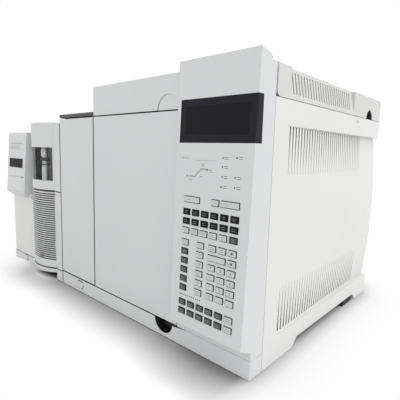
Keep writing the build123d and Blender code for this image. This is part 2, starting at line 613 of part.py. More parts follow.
def prism_across(y0, y1, points):
    """Straight-sided outline of (x, z) points, carried from y0 to y1."""
    corners = [(x, 0, z) for x, z in points]
    face = make_face(Polyline(*corners, close=True).edges())
    return Pos(0, y0, 0) * extrude(face, amount=y1 - y0, dir=(0, 1, 0))


def feet():
    """Rubber feet of both units, in one node."""
    blocks = []
    for x in (-MOULDING - FOOT_WIDTH / 2, X_LEFT + SHEET + FOOT_WIDTH / 2):
        for y in (FOOT_FRONT_FRONT, FOOT_BACK_FRONT):
            blocks.append(rubber_foot(x, y + FOOT_LENGTH / 2, PAN_FLOOR))
    for x in (D_LEFT + FOOT_WIDTH, D_RIGHT - FOOT_WIDTH):
        for y in (FOOT_FRONT_FRONT, FOOT_BACK_FRONT):
            blocks.append(rubber_foot(x, y + FOOT_LENGTH / 2, DETECTOR_FLOOR))
    return together(*blocks)


def rubber_foot(x, y, height):
    """Tapered rubber block that stands on the bench."""
    foot = Pos(x, y, height / 2) * Box(FOOT_WIDTH, FOOT_LENGTH, height)
    return chamfer(foot.edges().filter_by(Axis.Y).group_by(Axis.Z)[0], SHEET)


# ---- key tower ----
def tower_profile(inset):
    """Side outline of the key tower, moved inwards by a wall; a hollow runs out through its foot and back."""
    past = SLIT if inset else 0
    back, foot = SIDE_FRONT - SLIT + past, BEZEL_TOP + SLIT / 2 - past
    return [(face_y(TOWER_TOP) + inset, TOWER_TOP - inset), (face_y(CHIN) + inset, CHIN + inset),
            (inset, CHIN_FOOT + inset), (inset, foot), (back, foot), (back, COVER_TOP - inset),
            (TOWER_BACK_Y, COVER_TOP - inset), (TOWER_LIP_Y, TOWER_LIP - inset)]


def lens_outer():
    """Space of the display lens: a front sheet and its return round the right corner."""
    slope = [(face_y(DISPLAY_TOP), DISPLAY_TOP), (face_y(DISPLAY_BOTTOM), DISPLAY_BOTTOM)]
    sheet = [(slope[0][0], slope[0][1]), (slope[1][0], slope[1][1]),
             (slope[1][0] + LENS, slope[1][1]), (slope[0][0] + LENS, slope[0][1])]
    side = [slope[0], slope[1], (DISPLAY_WRAP, DISPLAY_BOTTOM), (DISPLAY_WRAP, DISPLAY_TOP)]
    return prism_x(-DISPLAY_LEFT + FACE_BEVEL, 0, sheet) + prism_x(-LENS, 0, side)


def bevel_cutter():
    """Wedge that bevels the tower's left flank back to the front."""
    deep = FACE_LOW_PROUD + 1
    run = FACE_BEVEL * deep / FACE_LOW_PROUD
    corners = [(X_TOWER - 1, 0), (X_TOWER, 0), (X_TOWER + run, -deep), (X_TOWER - 1, -deep)]
    face = make_face(Polyline(*[(x, y, 0) for x, y in corners], close=True).edges())
    return extrude(face, amount=TOWER_TOP + 1, dir=(0, 0, 1))


def front_fascia():
    """Moulded key tower: a proud sloping face with a chin, a lens seat and one opening for each key."""
    shell = prism_x(X_TOWER, 0, tower_profile(0)) - bevel_cutter()
    hollow = prism_x(X_TOWER + MOULDING, -MOULDING, tower_profile(MOULDING))
    hollow -= Pos(MOULDING, MOULDING, 0) * bevel_cutter()
    shell -= hollow
    seat = lens_outer()
    shell -= seat
    shell -= block(-DISPLAY_LEFT + FACE_BEVEL + LENS_LEDGE, -LENS_LEDGE - LENS, face_y(DISPLAY_BOTTOM), 0,
                   DISPLAY_BOTTOM + LENS_LEDGE, DISPLAY_TOP - LENS_LEDGE)
    openings = [key_shape(spot, KEY_CLEAR, 0) for spots in KEY_GROUPS.values() for spot in spots]
    return shell - openings


def display_lens():
    lens = lens_outer()
    return lens - prism_x(-DISPLAY_LEFT, -LENS, [
        (face_y(DISPLAY_TOP) + LENS, DISPLAY_TOP), (face_y(DISPLAY_BOTTOM) + LENS, DISPLAY_BOTTOM),
        (DISPLAY_WRAP + 1, DISPLAY_BOTTOM), (DISPLAY_WRAP + 1, DISPLAY_TOP)])


def key_spots():
    """Every key as (x, z, width, height), by group."""
    plain = (KEY_WIDTH, KEY_HEIGHT)
    dark = [(-x, z, *plain) for z in DARK_ROWS for x in KEY_COLUMNS]
    third = [(-x, THIRD_ROW, *plain) for x in KEY_COLUMNS]
    left = [(-KEY_COLUMNS[0], z, *plain) for z in NUMBER_ROWS]
    first, second, third_column, last = NUMBER_COLUMNS
    numbers = []
    for row, z in enumerate(NUMBER_ROWS):
        columns = (first, last) if row == 1 else NUMBER_COLUMNS
        numbers += [(-x, z, *plain) for x in columns]
    wide = (second - third_column) + KEY_WIDTH
    numbers.append((-(second + third_column) / 2, NUMBER_ROWS[1], wide, KEY_HEIGHT))
    low = [(-x, z, *plain) for z in LOW_ROWS for x in KEY_COLUMNS]
    grey = [third[-1]] + left[1:] + [spot for spot in low if spot[0] != -KEY_COLUMNS[-1]]
    light = third[:-1] + left[:1] + numbers + [spot for spot in low if spot[0] == -KEY_COLUMNS[-1]]
    return {
        "start_key": [(-START_X, TOP_ROW, WIDE_KEY, TALL_TOP_KEY)],
        "stop_key": [(-STOP_X, TOP_ROW, KEY_WIDTH, TALL_TOP_KEY)],
        "prep_key": [(-PREP_X, TOP_ROW, WIDE_KEY, TALL_TOP_KEY)],
        "dark_keys": dark,
        "grey_keys": grey,
        "light_keys": light,
    }


def key_shape(spot, grow, edge):
    """One key standing in the tilted face; grow makes the opening round it, edge chamfers the cap."""
    x, z, width, height = spot
    length = KEY_BODY + (2 * MOULDING if grow else 0)
    proud = KEY_STAND + (MOULDING if grow else 0)
    key = Pos(0, length / 2 - proud, 0) * Box(width + 2 * grow, length, height + 2 * grow)
    if edge:
        key = fillet(key.edges().filter_by(Axis.Y), KEY_CORNER)
        key = chamfer(key.faces().sort_by(Axis.Y)[0].edges(), edge)
    return Pos(x, face_y(z), z) * Rot(X=-degrees(TILT)) * key


def keys(group):
    """All the keys of one group."""
    return together(*[key_shape(spot, 0, KEY_EDGE) for spot in KEY_GROUPS[group]])


def keypad_board():
    """Circuit board behind the keys, carried on posts from the face."""
    low, high = LOW_ROWS[-1] - KEY_HEIGHT, TOP_ROW + KEY_HEIGHT
    left, right = -KEY_COLUMNS[0] - KEY_WIDTH, -KEY_COLUMNS[-1] + KEY_WIDTH
    back = KEY_BODY - KEY_STAND + BOARD_GAP
    middle, height = (low + high) / 2, (high - low)
    board = Pos(0, back + BOARD / 2, 0) * Box(right - left, BOARD, height)
    posts, start = [], MOULDING + SLIT / 2
    for x in (left + BOARD_POST_IN, right - BOARD_POST_IN):
        for z in (-height / 2 + BOARD_POST_IN, height / 2 - BOARD_POST_IN):
            posts.append(rod((x - (left + right) / 2, start, z), "y", back - start, BOARD_POST))
    board = board + posts
    return Pos((left + right) / 2, face_y(middle), middle) * Rot(X=-degrees(TILT)) * board


# ---- oven ----
def oven_liner():
    """Steel oven box, open at the front."""
    x0, x1, z0, z1 = OVEN_LEFT, OVEN_RIGHT, OVEN_BOTTOM, OVEN_TOP
    liner = block(x0 - LINER, x1 + LINER, OVEN_FRONT, OVEN_BACK + LINER, z0 - LINER, z1 + LINER)
    liner -= block(x0, x1, OVEN_FRONT, OVEN_BACK, z0, z1)
    for x in INLET_X:
        liner -= rod((-x, INLET_Y, z1 - 1), "z", LINER + 2, INLET_RADIUS + FIT)
    liner -= rod((-OVEN_X, OVEN_BACK - 1, OVEN_Z), "y", LINER + 2, SHAFT_RADIUS + 2)
    liner -= rod((x0 - LINER - 1, TRANSFER_Y, TRANSFER_Z), "x", LINER + 2, TRANSFER_RADIUS + FIT)
    inner = duct_space(OVEN_BACK - 1, OVEN_BACK + LINER + 1)
    return liner - inner


def duct_space(y0, y1):
    """The clear way inside the exhaust duct."""
    return block(-DUCT_X[1] + DUCT_WALL, -DUCT_X[0] - DUCT_WALL, y0, y1,
                 DUCT_Z[0] + DUCT_WALL, DUCT_Z[1] - DUCT_WALL)


def oven_insulation():
    """Lagging round the oven box, standing on the base pan."""
    lagging = block(-LAGGING_LEFT, -LAGGING_RIGHT, OVEN_FRONT, LAGGING_BACK, PAN_FLOOR + SHEET, TRAY)
    cup = RECESS_RADIUS + RECESS_WALL + FIT
    lagging -= block(-RECESS_X - cup, -RECESS_X + cup, OVEN_FRONT, RECESS_DEPTH + FIT, PAN_FLOOR, DOOR_BOTTOM)
    lagging -= block(OVEN_LEFT - LINER, OVEN_RIGHT + LINER, OVEN_FRONT, OVEN_BACK + LINER,
                     OVEN_BOTTOM - LINER, OVEN_TOP + LINER)
    for x in INLET_X:
        lagging -= rod((-x, INLET_Y, OVEN_TOP), "z", TRAY - OVEN_TOP + 1, INLET_RADIUS + FIT)
    lagging -= rod((-OVEN_X, OVEN_BACK, OVEN_Z), "y", LAGGING_BACK, SHAFT_RADIUS + 4)
    lagging -= rod((-LAGGING_LEFT - 1, TRANSFER_Y, TRANSFER_Z), "x", 60, TRANSFER_RADIUS + FIT)
    return lagging - duct_space(OVEN_BACK, LAGGING_BACK + 1)


def fan_shroud():
    """Baffle in front of the fan with radial slots round a round inlet."""
    z0, z1 = OVEN_BOTTOM, OVEN_TOP
    sheet = block(OVEN_LEFT, OVEN_RIGHT, SHROUD_Y, SHROUD_Y + LINER, z0, z1)
    centre = (-OVEN_X, SHROUD_Y, OVEN_Z)
    inner, outer, slots = 0.35 * FAN_RADIUS, FAN_RADIUS, 20
    for index in range(slots):
        angle = 360 * index / slots
        slot = Pos((inner + outer) / 2, 0, 0) * Box(outer - inner, 4 * LINER, 6)
        sheet -= Pos(*centre) * Rot(Y=angle) * slot
    sides = []
    for x0, x1 in ((OVEN_LEFT, OVEN_LEFT + LINER), (OVEN_RIGHT - LINER, OVEN_RIGHT)):
        sides.append(block(x0, x1, SHROUD_Y, OVEN_BACK, z0, z1))
    return sheet + sides + hanger_pegs()


def oven_fan():
    """Paddle-wheel fan on its hub."""
    length = FAN_Y[1] - FAN_Y[0]
    hub = tube((-OVEN_X, FAN_Y[0], OVEN_Z), "y", length, FAN_HUB, SHAFT_RADIUS)
    disc_y = FAN_Y[1] - FAN_BLADE_SHEET
    hub += tube((-OVEN_X, disc_y, OVEN_Z), "y", FAN_BLADE_SHEET, FAN_RADIUS, SHAFT_RADIUS)
    for index in range(FAN_BLADES):
        blade = Box(FAN_RADIUS - FAN_HUB, length, FAN_BLADE_SHEET)
        blade = Pos((FAN_HUB + FAN_RADIUS) / 2 - 1, 0, 0) * blade
        middle = (FAN_Y[0] + FAN_Y[1]) / 2
        hub += Pos(-OVEN_X, middle, OVEN_Z) * Rot(Y=360 * index / FAN_BLADES) * blade
    return hub


def fan_shaft():
    return rod((-OVEN_X, FAN_Y[0], OVEN_Z), "y", MOTOR_Y[1] - FAN_Y[0] - 2 * SHEET, SHAFT_RADIUS)


def fan_motor():
    """Motor behind the oven, on four legs to the lagging, with the shaft's bearing bore."""
    motor = rod((-OVEN_X, MOTOR_Y[0], OVEN_Z), "y", MOTOR_Y[1] - MOTOR_Y[0], MOTOR_RADIUS)
    motor -= rod((-OVEN_X, MOTOR_Y[0], OVEN_Z), "y", MOTOR_Y[1] - MOTOR_Y[0] - SHEET, SHAFT_RADIUS + RUN)
    reach = MOTOR_RADIUS - MOTOR_LEG_IN
    for index in range(MOTOR_LEGS):
        angle = 2 * pi * (index + 0.5) / MOTOR_LEGS
        start = (-OVEN_X + reach * cos(angle), LAGGING_BACK, OVEN_Z + reach * sin(angle))
        motor += rod(start, "y", MOTOR_Y[0] - LAGGING_BACK + 1, MOTOR_LEG_RADIUS)
    return motor


def heater_coil():
    """Ring heater round the fan, on three stays to the back of the oven."""
    ring = tube((-OVEN_X, HEATER_Y - HEATER_WIRE, OVEN_Z), "y", 2 * HEATER_WIRE,
                HEATER_RADIUS + HEATER_WIRE, HEATER_RADIUS - HEATER_WIRE)
    ring = chamfer(ring.edges().filter_by(GeomType.CIRCLE), HEATER_WIRE / 2)
    for index in range(3):
        angle = 2 * pi * index / 3 + pi / 2
        start = (-OVEN_X + HEATER_RADIUS * cos(angle), HEATER_Y, OVEN_Z + HEATER_RADIUS * sin(angle))
        ring += rod(start, "y", OVEN_BACK - HEATER_Y, HEATER_WIRE - 1)
    return ring


def column_coil():
    """Bundle of capillary turns on its cage."""
    width = COIL_Y[1] - COIL_Y[0]
    coil = tube((-OVEN_X, COIL_Y[0], COIL_Z), "y", width, COIL_RADIUS + COIL_THICK, COIL_RADIUS)
    return chamfer(coil.edges().filter_by(GeomType.CIRCLE), 2)


def column_cage():
    """Wire cage inside the coil, hung by its hooks from the hanger bar."""
    middle = COIL_RADIUS - CAGE_WIRE - FIT
    cage = None
    for y in (COIL_Y[0] - SHEET - CAGE_WIRE, COIL_Y[1] + SHEET - CAGE_WIRE):
        hoop = tube((-OVEN_X, y, COIL_Z), "y", 2 * CAGE_WIRE, middle + CAGE_WIRE, middle - CAGE_WIRE)
        cage = hoop if cage is None else cage + hoop
    for index in range(2 * CAGE_SPOKES):
        angle = pi * (index + 0.5) / CAGE_SPOKES
        start = (-OVEN_X + middle * cos(angle), COIL_Y[0] - SHEET, COIL_Z + middle * sin(angle))
        cage += rod(start, "y", COIL_Y[1] - COIL_Y[0] + 2 * SHEET, 0.8 * CAGE_WIRE)
    return cage


def hanger_pegs():
    """Two pegs of the shroud that carry the column cage."""
    radius = COIL_RADIUS - 2 * (CAGE_WIRE + FIT) - PEG_RADIUS
    pegs = []
    for side in (-1, 1):
        angle = pi / 2 + side * pi / 16
        start = (-OVEN_X + radius * cos(angle), COIL_Y[0] - 3 * SHEET, COIL_Z + radius * sin(angle))
        pegs.append(rod(start, "y", SHROUD_Y - start[1], PEG_RADIUS))
    return pegs


def inlets():
    """Two heated inlets from the oven's top up through the tray, each with its septum nut."""
    bodies = []
    for x in INLET_X:
        body = rod((-x, INLET_Y, OVEN_TOP - SHEET), "z", INLET_TOP - 16 - OVEN_TOP + SHEET, INLET_RADIUS)
        body += rod((-x, INLET_Y, OVEN_TOP - 20), "z", 19, 4)
        nut = rod((-x, INLET_Y, INLET_TOP - 16), "z", 16, SEPTUM_NUT)
        nut = chamfer(nut.edges().group_by(Axis.Z)[-1], 1.5)
        body += nut
        body -= rod((-x, INLET_Y, INLET_TOP - 10), "z", 12, NEEDLE_BORE)
        bodies.append(body)
    return together(*bodies)


# ---- door ----
def door_panel():
    door = block(DOOR_LEFT, DOOR_RIGHT, 0, DOOR_DEPTH, DOOR_BOTTOM, DOOR_TOP)
    door = open_back(door, DOOR_LEFT, DOOR_RIGHT, DOOR_DEPTH, DOOR_BOTTOM, DOOR_TOP, DOOR_SHELL)
    boss = 2 * PIN_RADIUS + 1
    for z0 in (DOOR_BOTTOM, DOOR_TOP - DOOR_BOSS):
        inside = block(DOOR_LEFT, DOOR_RIGHT, 0, DOOR_DEPTH, z0, z0 + DOOR_BOSS)
        door += rod((*DOOR_AXIS, z0), "z", DOOR_BOSS, boss) & inside
        door -= rod((*DOOR_AXIS, z0), "z", DOOR_BOSS, PIN_RADIUS + RUN)
    return door


def plug_size():
    """Corners of the plug's front face: left, right, bottom, top."""
    return (OVEN_LEFT + PLUG_INSET, OVEN_RIGHT - PLUG_INSET - PLUG_RIGHT_EXTRA,
            OVEN_BOTTOM + PLUG_INSET, OVEN_TOP - PLUG_INSET)


def door_inner():
    """Back plate of the door with the tapered insulated plug."""
    plate = block(DOOR_LEFT + DOOR_SHELL, DOOR_RIGHT - DOOR_SHELL, DOOR_DEPTH - PLUG_FLANGE, DOOR_DEPTH,
                  DOOR_BOTTOM + DOOR_SHELL, DOOR_TOP - DOOR_SHELL)
    left, right, bottom, top = plug_size()
    middle, height = ((left + right) / 2, (bottom + top) / 2), (right - left, top - bottom)
    front = Plane(origin=(middle[0], DOOR_DEPTH, middle[1]), x_dir=(1, 0, 0), z_dir=(0, -1, 0))
    back = Plane(origin=(middle[0], PLUG_BACK, middle[1]), x_dir=(1, 0, 0), z_dir=(0, -1, 0))
    small = [side - 2 * PLUG_TAPER for side in height]
    return plate + loft([front * Rectangle(*height), back * Rectangle(*small)])


def door_seal():
    left, right, bottom, top = plug_size()
    seal = block(left - SEAL_WIDTH / 2, right + SEAL_WIDTH, DOOR_DEPTH, DOOR_DEPTH + SEAL_THICK,
                 bottom - SEAL_WIDTH, top + SEAL_WIDTH)
    return seal - block(left, right, DOOR_DEPTH, DOOR_DEPTH + SEAL_THICK, bottom, top)


def hinge_pins():
    """Pins of the door, the injector cover and the window cover, fixed to what carries them."""
    low = rod((*DOOR_AXIS, BEZEL_TOP), "z", DOOR_GAP_BELOW + DOOR_PIN, PIN_RADIUS)
    low += block(DOOR_LEFT, DOOR_AXIS[0] + DOOR_PIN, MOULDING, OVEN_FRONT, BEZEL_TOP, BEZEL_TOP + STRAP)
    high = rod((*DOOR_AXIS, DOOR_TOP - DOOR_PIN), "z", DOOR_PIN + FIT, PIN_RADIUS)
    pins = [low, high]
    y, z = LID_PIVOT
    for side in (-1, 1):
        outer, inner = lid_knuckle(side)
        ear = (inner - side * FIT, inner - side * (FIT + LID_EAR))
        pin = rod((min(outer, ear[1]), y, z), "x", abs(outer - ear[1]), PIN_RADIUS)
        pins.append(pin + block(*ear, y - PIN_RADIUS - 1, REAR_COVER_FRONT, z - LUG_RADIUS, z + PIN_RADIUS))
    return together(*pins, *cover_pins())


def lid_knuckle(side):
    """Outer and inner end of a lid knuckle, near the lid's left (-1) or right (1) edge."""
    outer = DOOR_LEFT + 2 * LID_SHEET if side < 0 else DOOR_RIGHT - 2 * LID_SHEET
    return outer, outer - side * KNUCKLE_LENGTH


def injector_cover():
    """Hinged lid over the inlets, with a shallow half-round thumb mark on its front."""
    x0, x1 = DOOR_LEFT, DOOR_RIGHT
    lid = block(x0, x1, 0, LID_BACK, LID_SEAT, COVER_TOP)
    lid = fillet(lid.edges().filter_by(Axis.X).group_by(Axis.Z)[-1].sort_by(Axis.Y)[0], LID_SHEET - 0.5)
    lid -= block(x0 + LID_SHEET, x1 - LID_SHEET, LID_SHEET, LID_BACK, LID_SEAT, COVER_TOP - LID_SHEET)
    clear = KNUCKLE_RADIUS + SLIT
    lid -= block(x0, x1, LID_PIVOT[0] - clear, LID_BACK, LID_SEAT, LID_PIVOT[1] + KNUCKLE_RADIUS / 2)
    for side in (-1, 1):
        outer, inner = lid_knuckle(side)
        start = min(outer, inner)
        knuckle = rod((start, *LID_PIVOT), "x", KNUCKLE_LENGTH, KNUCKLE_RADIUS)
        neck = block(outer, inner, LID_PIVOT[0] - 2 * clear, LID_PIVOT[0], LID_PIVOT[1] + 1,
                     COVER_TOP - LID_SHEET + 1)
        lid = lid + knuckle + neck - rod((start, *LID_PIVOT), "x", KNUCKLE_LENGTH, PIN_RADIUS + RUN)
        lid -= block(inner, inner - side * (LID_EAR + 2 * SLIT), LID_PIVOT[0] - 2 * clear, LID_BACK,
                     LID_SEAT, COVER_TOP)
    thumb = rod((-THUMB_ARC_X, -1, LID_SEAT), "y", 1 + THUMB_ARC_DEPTH, THUMB_ARC_RADIUS)
    return lid - thumb


def latch_paddle():
    """Finger plate on its pivot, with a nose under the door's edge."""
    y, z = PADDLE_PIVOT
    half = PADDLE_WIDTH / 2
    tip_y, tip_z = y - PADDLE_TIP[0], BEZEL_TOP - RECESS_RADIUS + PADDLE_TIP[1]
    plate = prism_x(-RECESS_X - half, -RECESS_X + half, [
        (y - PADDLE_PIN - 1, z + PADDLE_PIN), (tip_y, tip_z), (tip_y + PADDLE_PLATE, tip_z),
        (y + PADDLE_PIN + 1, z - 1), (y + PADDLE_PIN + PADDLE_NOSE, BEZEL_TOP),
        (y + PADDLE_PIN + PADDLE_NOSE, DOOR_BOTTOM - 2 * FIT), (y + PADDLE_PIN, DOOR_BOTTOM - 2 * FIT)])
    pin = rod((-RECESS_X - half - PADDLE_PIN_REACH, y, z), "x", 2 * (half + PADDLE_PIN_REACH), PADDLE_PIN)
    return plate + pin


def button_shape(x, y, length, grow=0.0):
    """Rounded outline of a power button, carried back from y; grow makes the opening round it."""
    width, height = (side + 2 * grow for side in BUTTON_SIZE)
    plane = Plane(origin=(-x, y, BUTTON_Z), x_dir=(1, 0, 0), z_dir=(0, 1, 0))
    return extrude(plane * RectangleRounded(width, height, BUTTON_CORNER + grow), amount=length)


def push_button(x):
    """Wide push button with a round stem."""
    cap = button_shape(x, -BUTTON_PROUD, BUTTON_PROUD + MOULDING + SHEET)
    cap = chamfer(cap.edges().group_by(Axis.Y)[0], KEY_EDGE)
    return cap + rod((-x, MOULDING, BUTTON_Z), "y", BUTTON_LENGTH - BUTTON_TRAVEL - MOULDING, BUTTON_STEM)


def button_switches():
    """Switch blocks behind the two power buttons, held in the floors' cut-outs."""
    wide, high, y0 = BUTTON_SIZE[0] / 2 + SHEET, BUTTON_SIZE[1] / 2 + SLIT, BUTTON_LENGTH + FIT
    return together(*[block(-x - wide, -x + wide, y0, y0 + SWITCH_DEPTH, BUTTON_Z - high, BUTTON_Z + high)
                      for x in (BUTTON_X, DETECTOR_BUTTON_X)])


# ---- exhaust and back ----
def exhaust_duct():
    """Square duct from the oven to the back, its mouth cut on a slant."""
    duct = block(-DUCT_X[1], -DUCT_X[0], LAGGING_BACK, DUCT_END, *DUCT_Z)
    duct -= duct_space(LAGGING_BACK - 1, DUCT_END + 1)
    duct -= prism_x(-DUCT_X[1] - 1, -DUCT_X[0] + 1, [
        (DUCT_END + 1, DUCT_Z[0] - 1), (CASE_DEPTH + 2, DUCT_Z[0] - 1), (DUCT_END + 1, DUCT_Z[1] - 10)])
    middle = sum(DUCT_Z) / 2
    return duct - rod((-DUCT_X[1] - 1, FLAP_Y, middle), "x", DUCT_X[1] - DUCT_X[0] + 2, FLAP_SHAFT + RUN)


def vent_flap():
    """Flap plate on its shaft across the duct, turned by the vent motor."""
    middle = sum(DUCT_Z) / 2
    gap = DUCT_WALL + FLAP_GAP
    plate = block(-DUCT_X[1] + gap, -DUCT_X[0] - gap, FLAP_Y - FLAP_SHEET / 2, FLAP_Y + FLAP_SHEET / 2,
                  DUCT_Z[0] + gap, DUCT_Z[1] - gap)
    return plate + rod((-DUCT_X[1] - 8, FLAP_Y, middle), "x", DUCT_X[1] - DUCT_X[0] + 12, FLAP_SHAFT)


def vent_motor():
    """Small motor on the duct's side, round the end of the flap's shaft."""
    middle = sum(DUCT_Z) / 2
    half = FLAP_MOTOR / 2
    body = block(-DUCT_X[1] - FLAP_MOTOR, -DUCT_X[1], FLAP_Y - half, FLAP_Y + half,
                 middle - half, middle + half)
    return body - rod((-DUCT_X[1] - 9, FLAP_Y, middle), "x", 10, FLAP_SHAFT + RUN)


def gas_fittings():
    """Bulkhead tube fittings for the gases, each with its nut inside the panel."""
    fittings = []
    for x in FITTING_X:
        centre = Plane(origin=(-x, CASE_DEPTH, FITTING_Z), z_dir=(0, 1, 0))
        body = extrude(centre * RegularPolygon(FITTING_HEX / 2, 6), amount=FITTING_FLANGE)
        body += rod((-x, CASE_DEPTH, FITTING_Z), "y", FITTING_REACH, FITTING_TUBE)
        body += rod((-x, CASE_DEPTH, FITTING_Z), "y", -FITTING_STEM, FITTING_BORE + FITTING_WALL)
        body += rod((-x, CASE_DEPTH - SHEET, FITTING_Z), "y", -FITTING_NUT, FITTING_HEX / 2)
        body -= rod((-x, CASE_DEPTH + FITTING_STOP, FITTING_Z), "y", FITTING_REACH, FITTING_BORE)
        fittings.append(body)
    return together(*fittings)


def power_inlet():
    """Three-pin mains inlet in the back."""
    x, z, y = -POWER_INLET_X, POWER_INLET_Z, CASE_DEPTH

    def plate(size, y0, y1):
        return block(x - size[0] / 2, x + size[0] / 2, y0, y1, z - size[1] / 2, z + size[1] / 2)

    inlet = plate(POWER_FLANGE, y, y + POWER_FLANGE_PROUD) + plate(POWER_BODY, y - POWER_BODY_DEPTH, y)
    inlet -= plate(POWER_SOCKET, y - POWER_SOCKET_DEPTH, y + POWER_FLANGE_PROUD + 1)
    width, height = POWER_PIN
    for dx, dz in POWER_PIN_SPOTS:
        inlet += block(x + dx - width / 2, x + dx + width / 2, y - POWER_SOCKET_DEPTH - 1, y - POWER_PIN_SHY,
                       z + dz - height / 2, z + dz + height / 2)
    return inlet


def side_screw(radius, length):
    """Space of the screw sunk into the right side panel, under the seam of the electronics cover."""
    spot = (-SIDE_SCREW_SUNK, CASE_DEPTH - SIDE_SCREW_BEHIND, SIDE_TOP - SIDE_SCREW_UNDER)
    return rod(spot, "x", length, radius)


def panel_screws():
    """Screws that hold the back and the side panel."""
    high = COVER_TOP - SCREW_UNDER
    screws = [side_screw(SCREW_RADIUS - FIT, SIDE_SCREW_SUNK - FIT)]
    for x in (X_LEFT + SCREW_IN, X_TOWER - SCREW_IN, X_TOWER + SCREW_IN, -SCREW_IN):
        for z in (SCREW_LOW, (SCREW_LOW + high) / 2, high):
            screws.append(rod((x, CASE_DEPTH, z), "y", SCREW_PROUD, SCREW_RADIUS))
    return together(*screws)


# ---- electronics ----
def bulkhead():
    """Wall between the oven and the electronics; the electronics cover stands on it."""
    back = CASE_DEPTH - 2 * SHEET
    wall = block(X_TOWER, X_TOWER + SHEET, BULKHEAD_FRONT, back, PAN_FLOOR + SHEET, SIDE_TOP + SLIT)
    foot = block(X_TOWER, X_TOWER + BULKHEAD_FLANGE, BULKHEAD_FRONT, back,
                 PAN_FLOOR + SHEET, PAN_FLOOR + 2 * SHEET)
    return wall + foot


def main_board():
    """Upright board on standoffs, with its largest chips and coils."""
    x, front, foot = X_TOWER + SHEET + STANDOFF, MAIN_BOARD_Y[0], MAIN_BOARD_Z[0]
    board = block(x, x + BOARD, *MAIN_BOARD_Y, *MAIN_BOARD_Z)
    for y in (front + BOARD_SCREW_IN, MAIN_BOARD_Y[1] - BOARD_SCREW_IN):
        for z in (foot + BOARD_SCREW_IN, MAIN_BOARD_Z[1] - BOARD_SCREW_IN):
            board += rod((X_TOWER + SHEET, y, z), "x", STANDOFF, STANDOFF_RADIUS)
    for y, z, length, height, thick in CHIPS:
        board += block(x + BOARD, x + BOARD + thick, front + y - length / 2, front + y + length / 2,
                       foot + z - height / 2, foot + z + height / 2)
    return board


def power_supply():
    """Boxed supply behind the mains inlet, with a finned heat sink on top."""
    width, depth, height = SUPPLY_SIZE
    x0, y0, z0 = -SUPPLY_RIGHT - width, SUPPLY_FRONT, PAN_FLOOR + SHEET
    box = block(x0, x0 + width, y0, y0 + depth, z0, z0 + height)
    for index in range(SUPPLY_FINS):
        x = x0 + (index + 0.5) * width / SUPPLY_FINS
        box += block(x - FIN / 2, x + FIN / 2, y0 + FIN_INSET, y0 + depth - FIN_INSET,
                     z0 + height, z0 + height + FIN_HEIGHT)
    return box


# ---- detector ----
def swell(x0, x1, bulge, inset):
    """Front edge that swells forward between two ends, moved inwards by an inset."""
    y = BULGE_ENDS_Y + inset
    return ThreePointArc((x0, y, 0), ((x0 + x1) / 2, y - bulge, 0), (x1, y, 0))


def swollen(x0, x1, depth, z0, z1, inset=0.0):
    """Block whose front swells forward, from x0 to x1 and back to a depth."""
    y = BULGE_ENDS_Y + inset
    arc = swell(x0, x1, BULGE, inset)
    rest = Polyline((x1, y, 0), (x1, depth, 0), (x0, depth, 0), (x0, y, 0))
    face = make_face([arc.edge(), *rest.edges()])
    return Pos(0, 0, z0) * extrude(face, amount=z1 - z0, dir=(0, 0, 1))


def curved_sheet(x0, x1, sheet, z0, z1, inset=0.0):
    """Thin sheet that follows the swollen front."""
    y = BULGE_ENDS_Y + inset
    outer = swell(x0, x1, BULGE, inset)
    inner = ThreePointArc((x1, y + sheet, 0), ((x0 + x1) / 2, y + sheet - BULGE, 0), (x0, y + sheet, 0))
    sides = [Line((x1, y, 0), (x1, y + sheet, 0)), Line((x0, y + sheet, 0), (x0, y, 0))]
    face = make_face([outer.edge(), sides[0].edge(), inner.edge(), sides[1].edge()])
    return Pos(0, 0, z0) * extrude(face, amount=z1 - z0, dir=(0, 0, 1))


def detector_base():
    x0, x1, y0, y1 = D_LEFT + SHEET, D_RIGHT - SHEET, 2 * MOULDING, DETECTOR_DEPTH - SHEET
    floor = block(x0, x1, y0, y1, DETECTOR_FLOOR, DETECTOR_FLOOR + SHEET)
    floor -= block(COLUMN_LEFT, D_RIGHT, 0, COLUMN_DEPTH, 0, DETECTOR_TOP)
    return floor - switch_space(DETECTOR_BUTTON_X)


def base_strip():
    """Lower strip of the detector: straight at the left, swollen under the grille."""
    z0, z1 = STRIP_Z
    straight = block(D_LEFT, BAY_LEFT, 0, MOULDING, z0, z1)
    side = block(D_LEFT, D_LEFT + SHEET, 0, STRIP_SIDE, z0, z1)
    curved = curved_sheet(BAY_LEFT - 1, COLUMN_LEFT - SLIT, MOULDING, z0, z1)
    wedge = Polyline((D_LEFT, 0, 0), (COLUMN_LEFT, 0, 0), (COLUMN_LEFT, 0, z0 + STRIP_RISE), (D_LEFT, 0, z0),
                     close=True)
    under = extrude(make_face(wedge.edges()), amount=3 * BULGE + MOULDING, dir=(0, 1, 0))
    under = Pos(0, -2 * BULGE, 0) * under
    strip = straight + side + curved - under
    return strip - button_shape(DETECTOR_BUTTON_X, -1, MOULDING + 2, FIT)


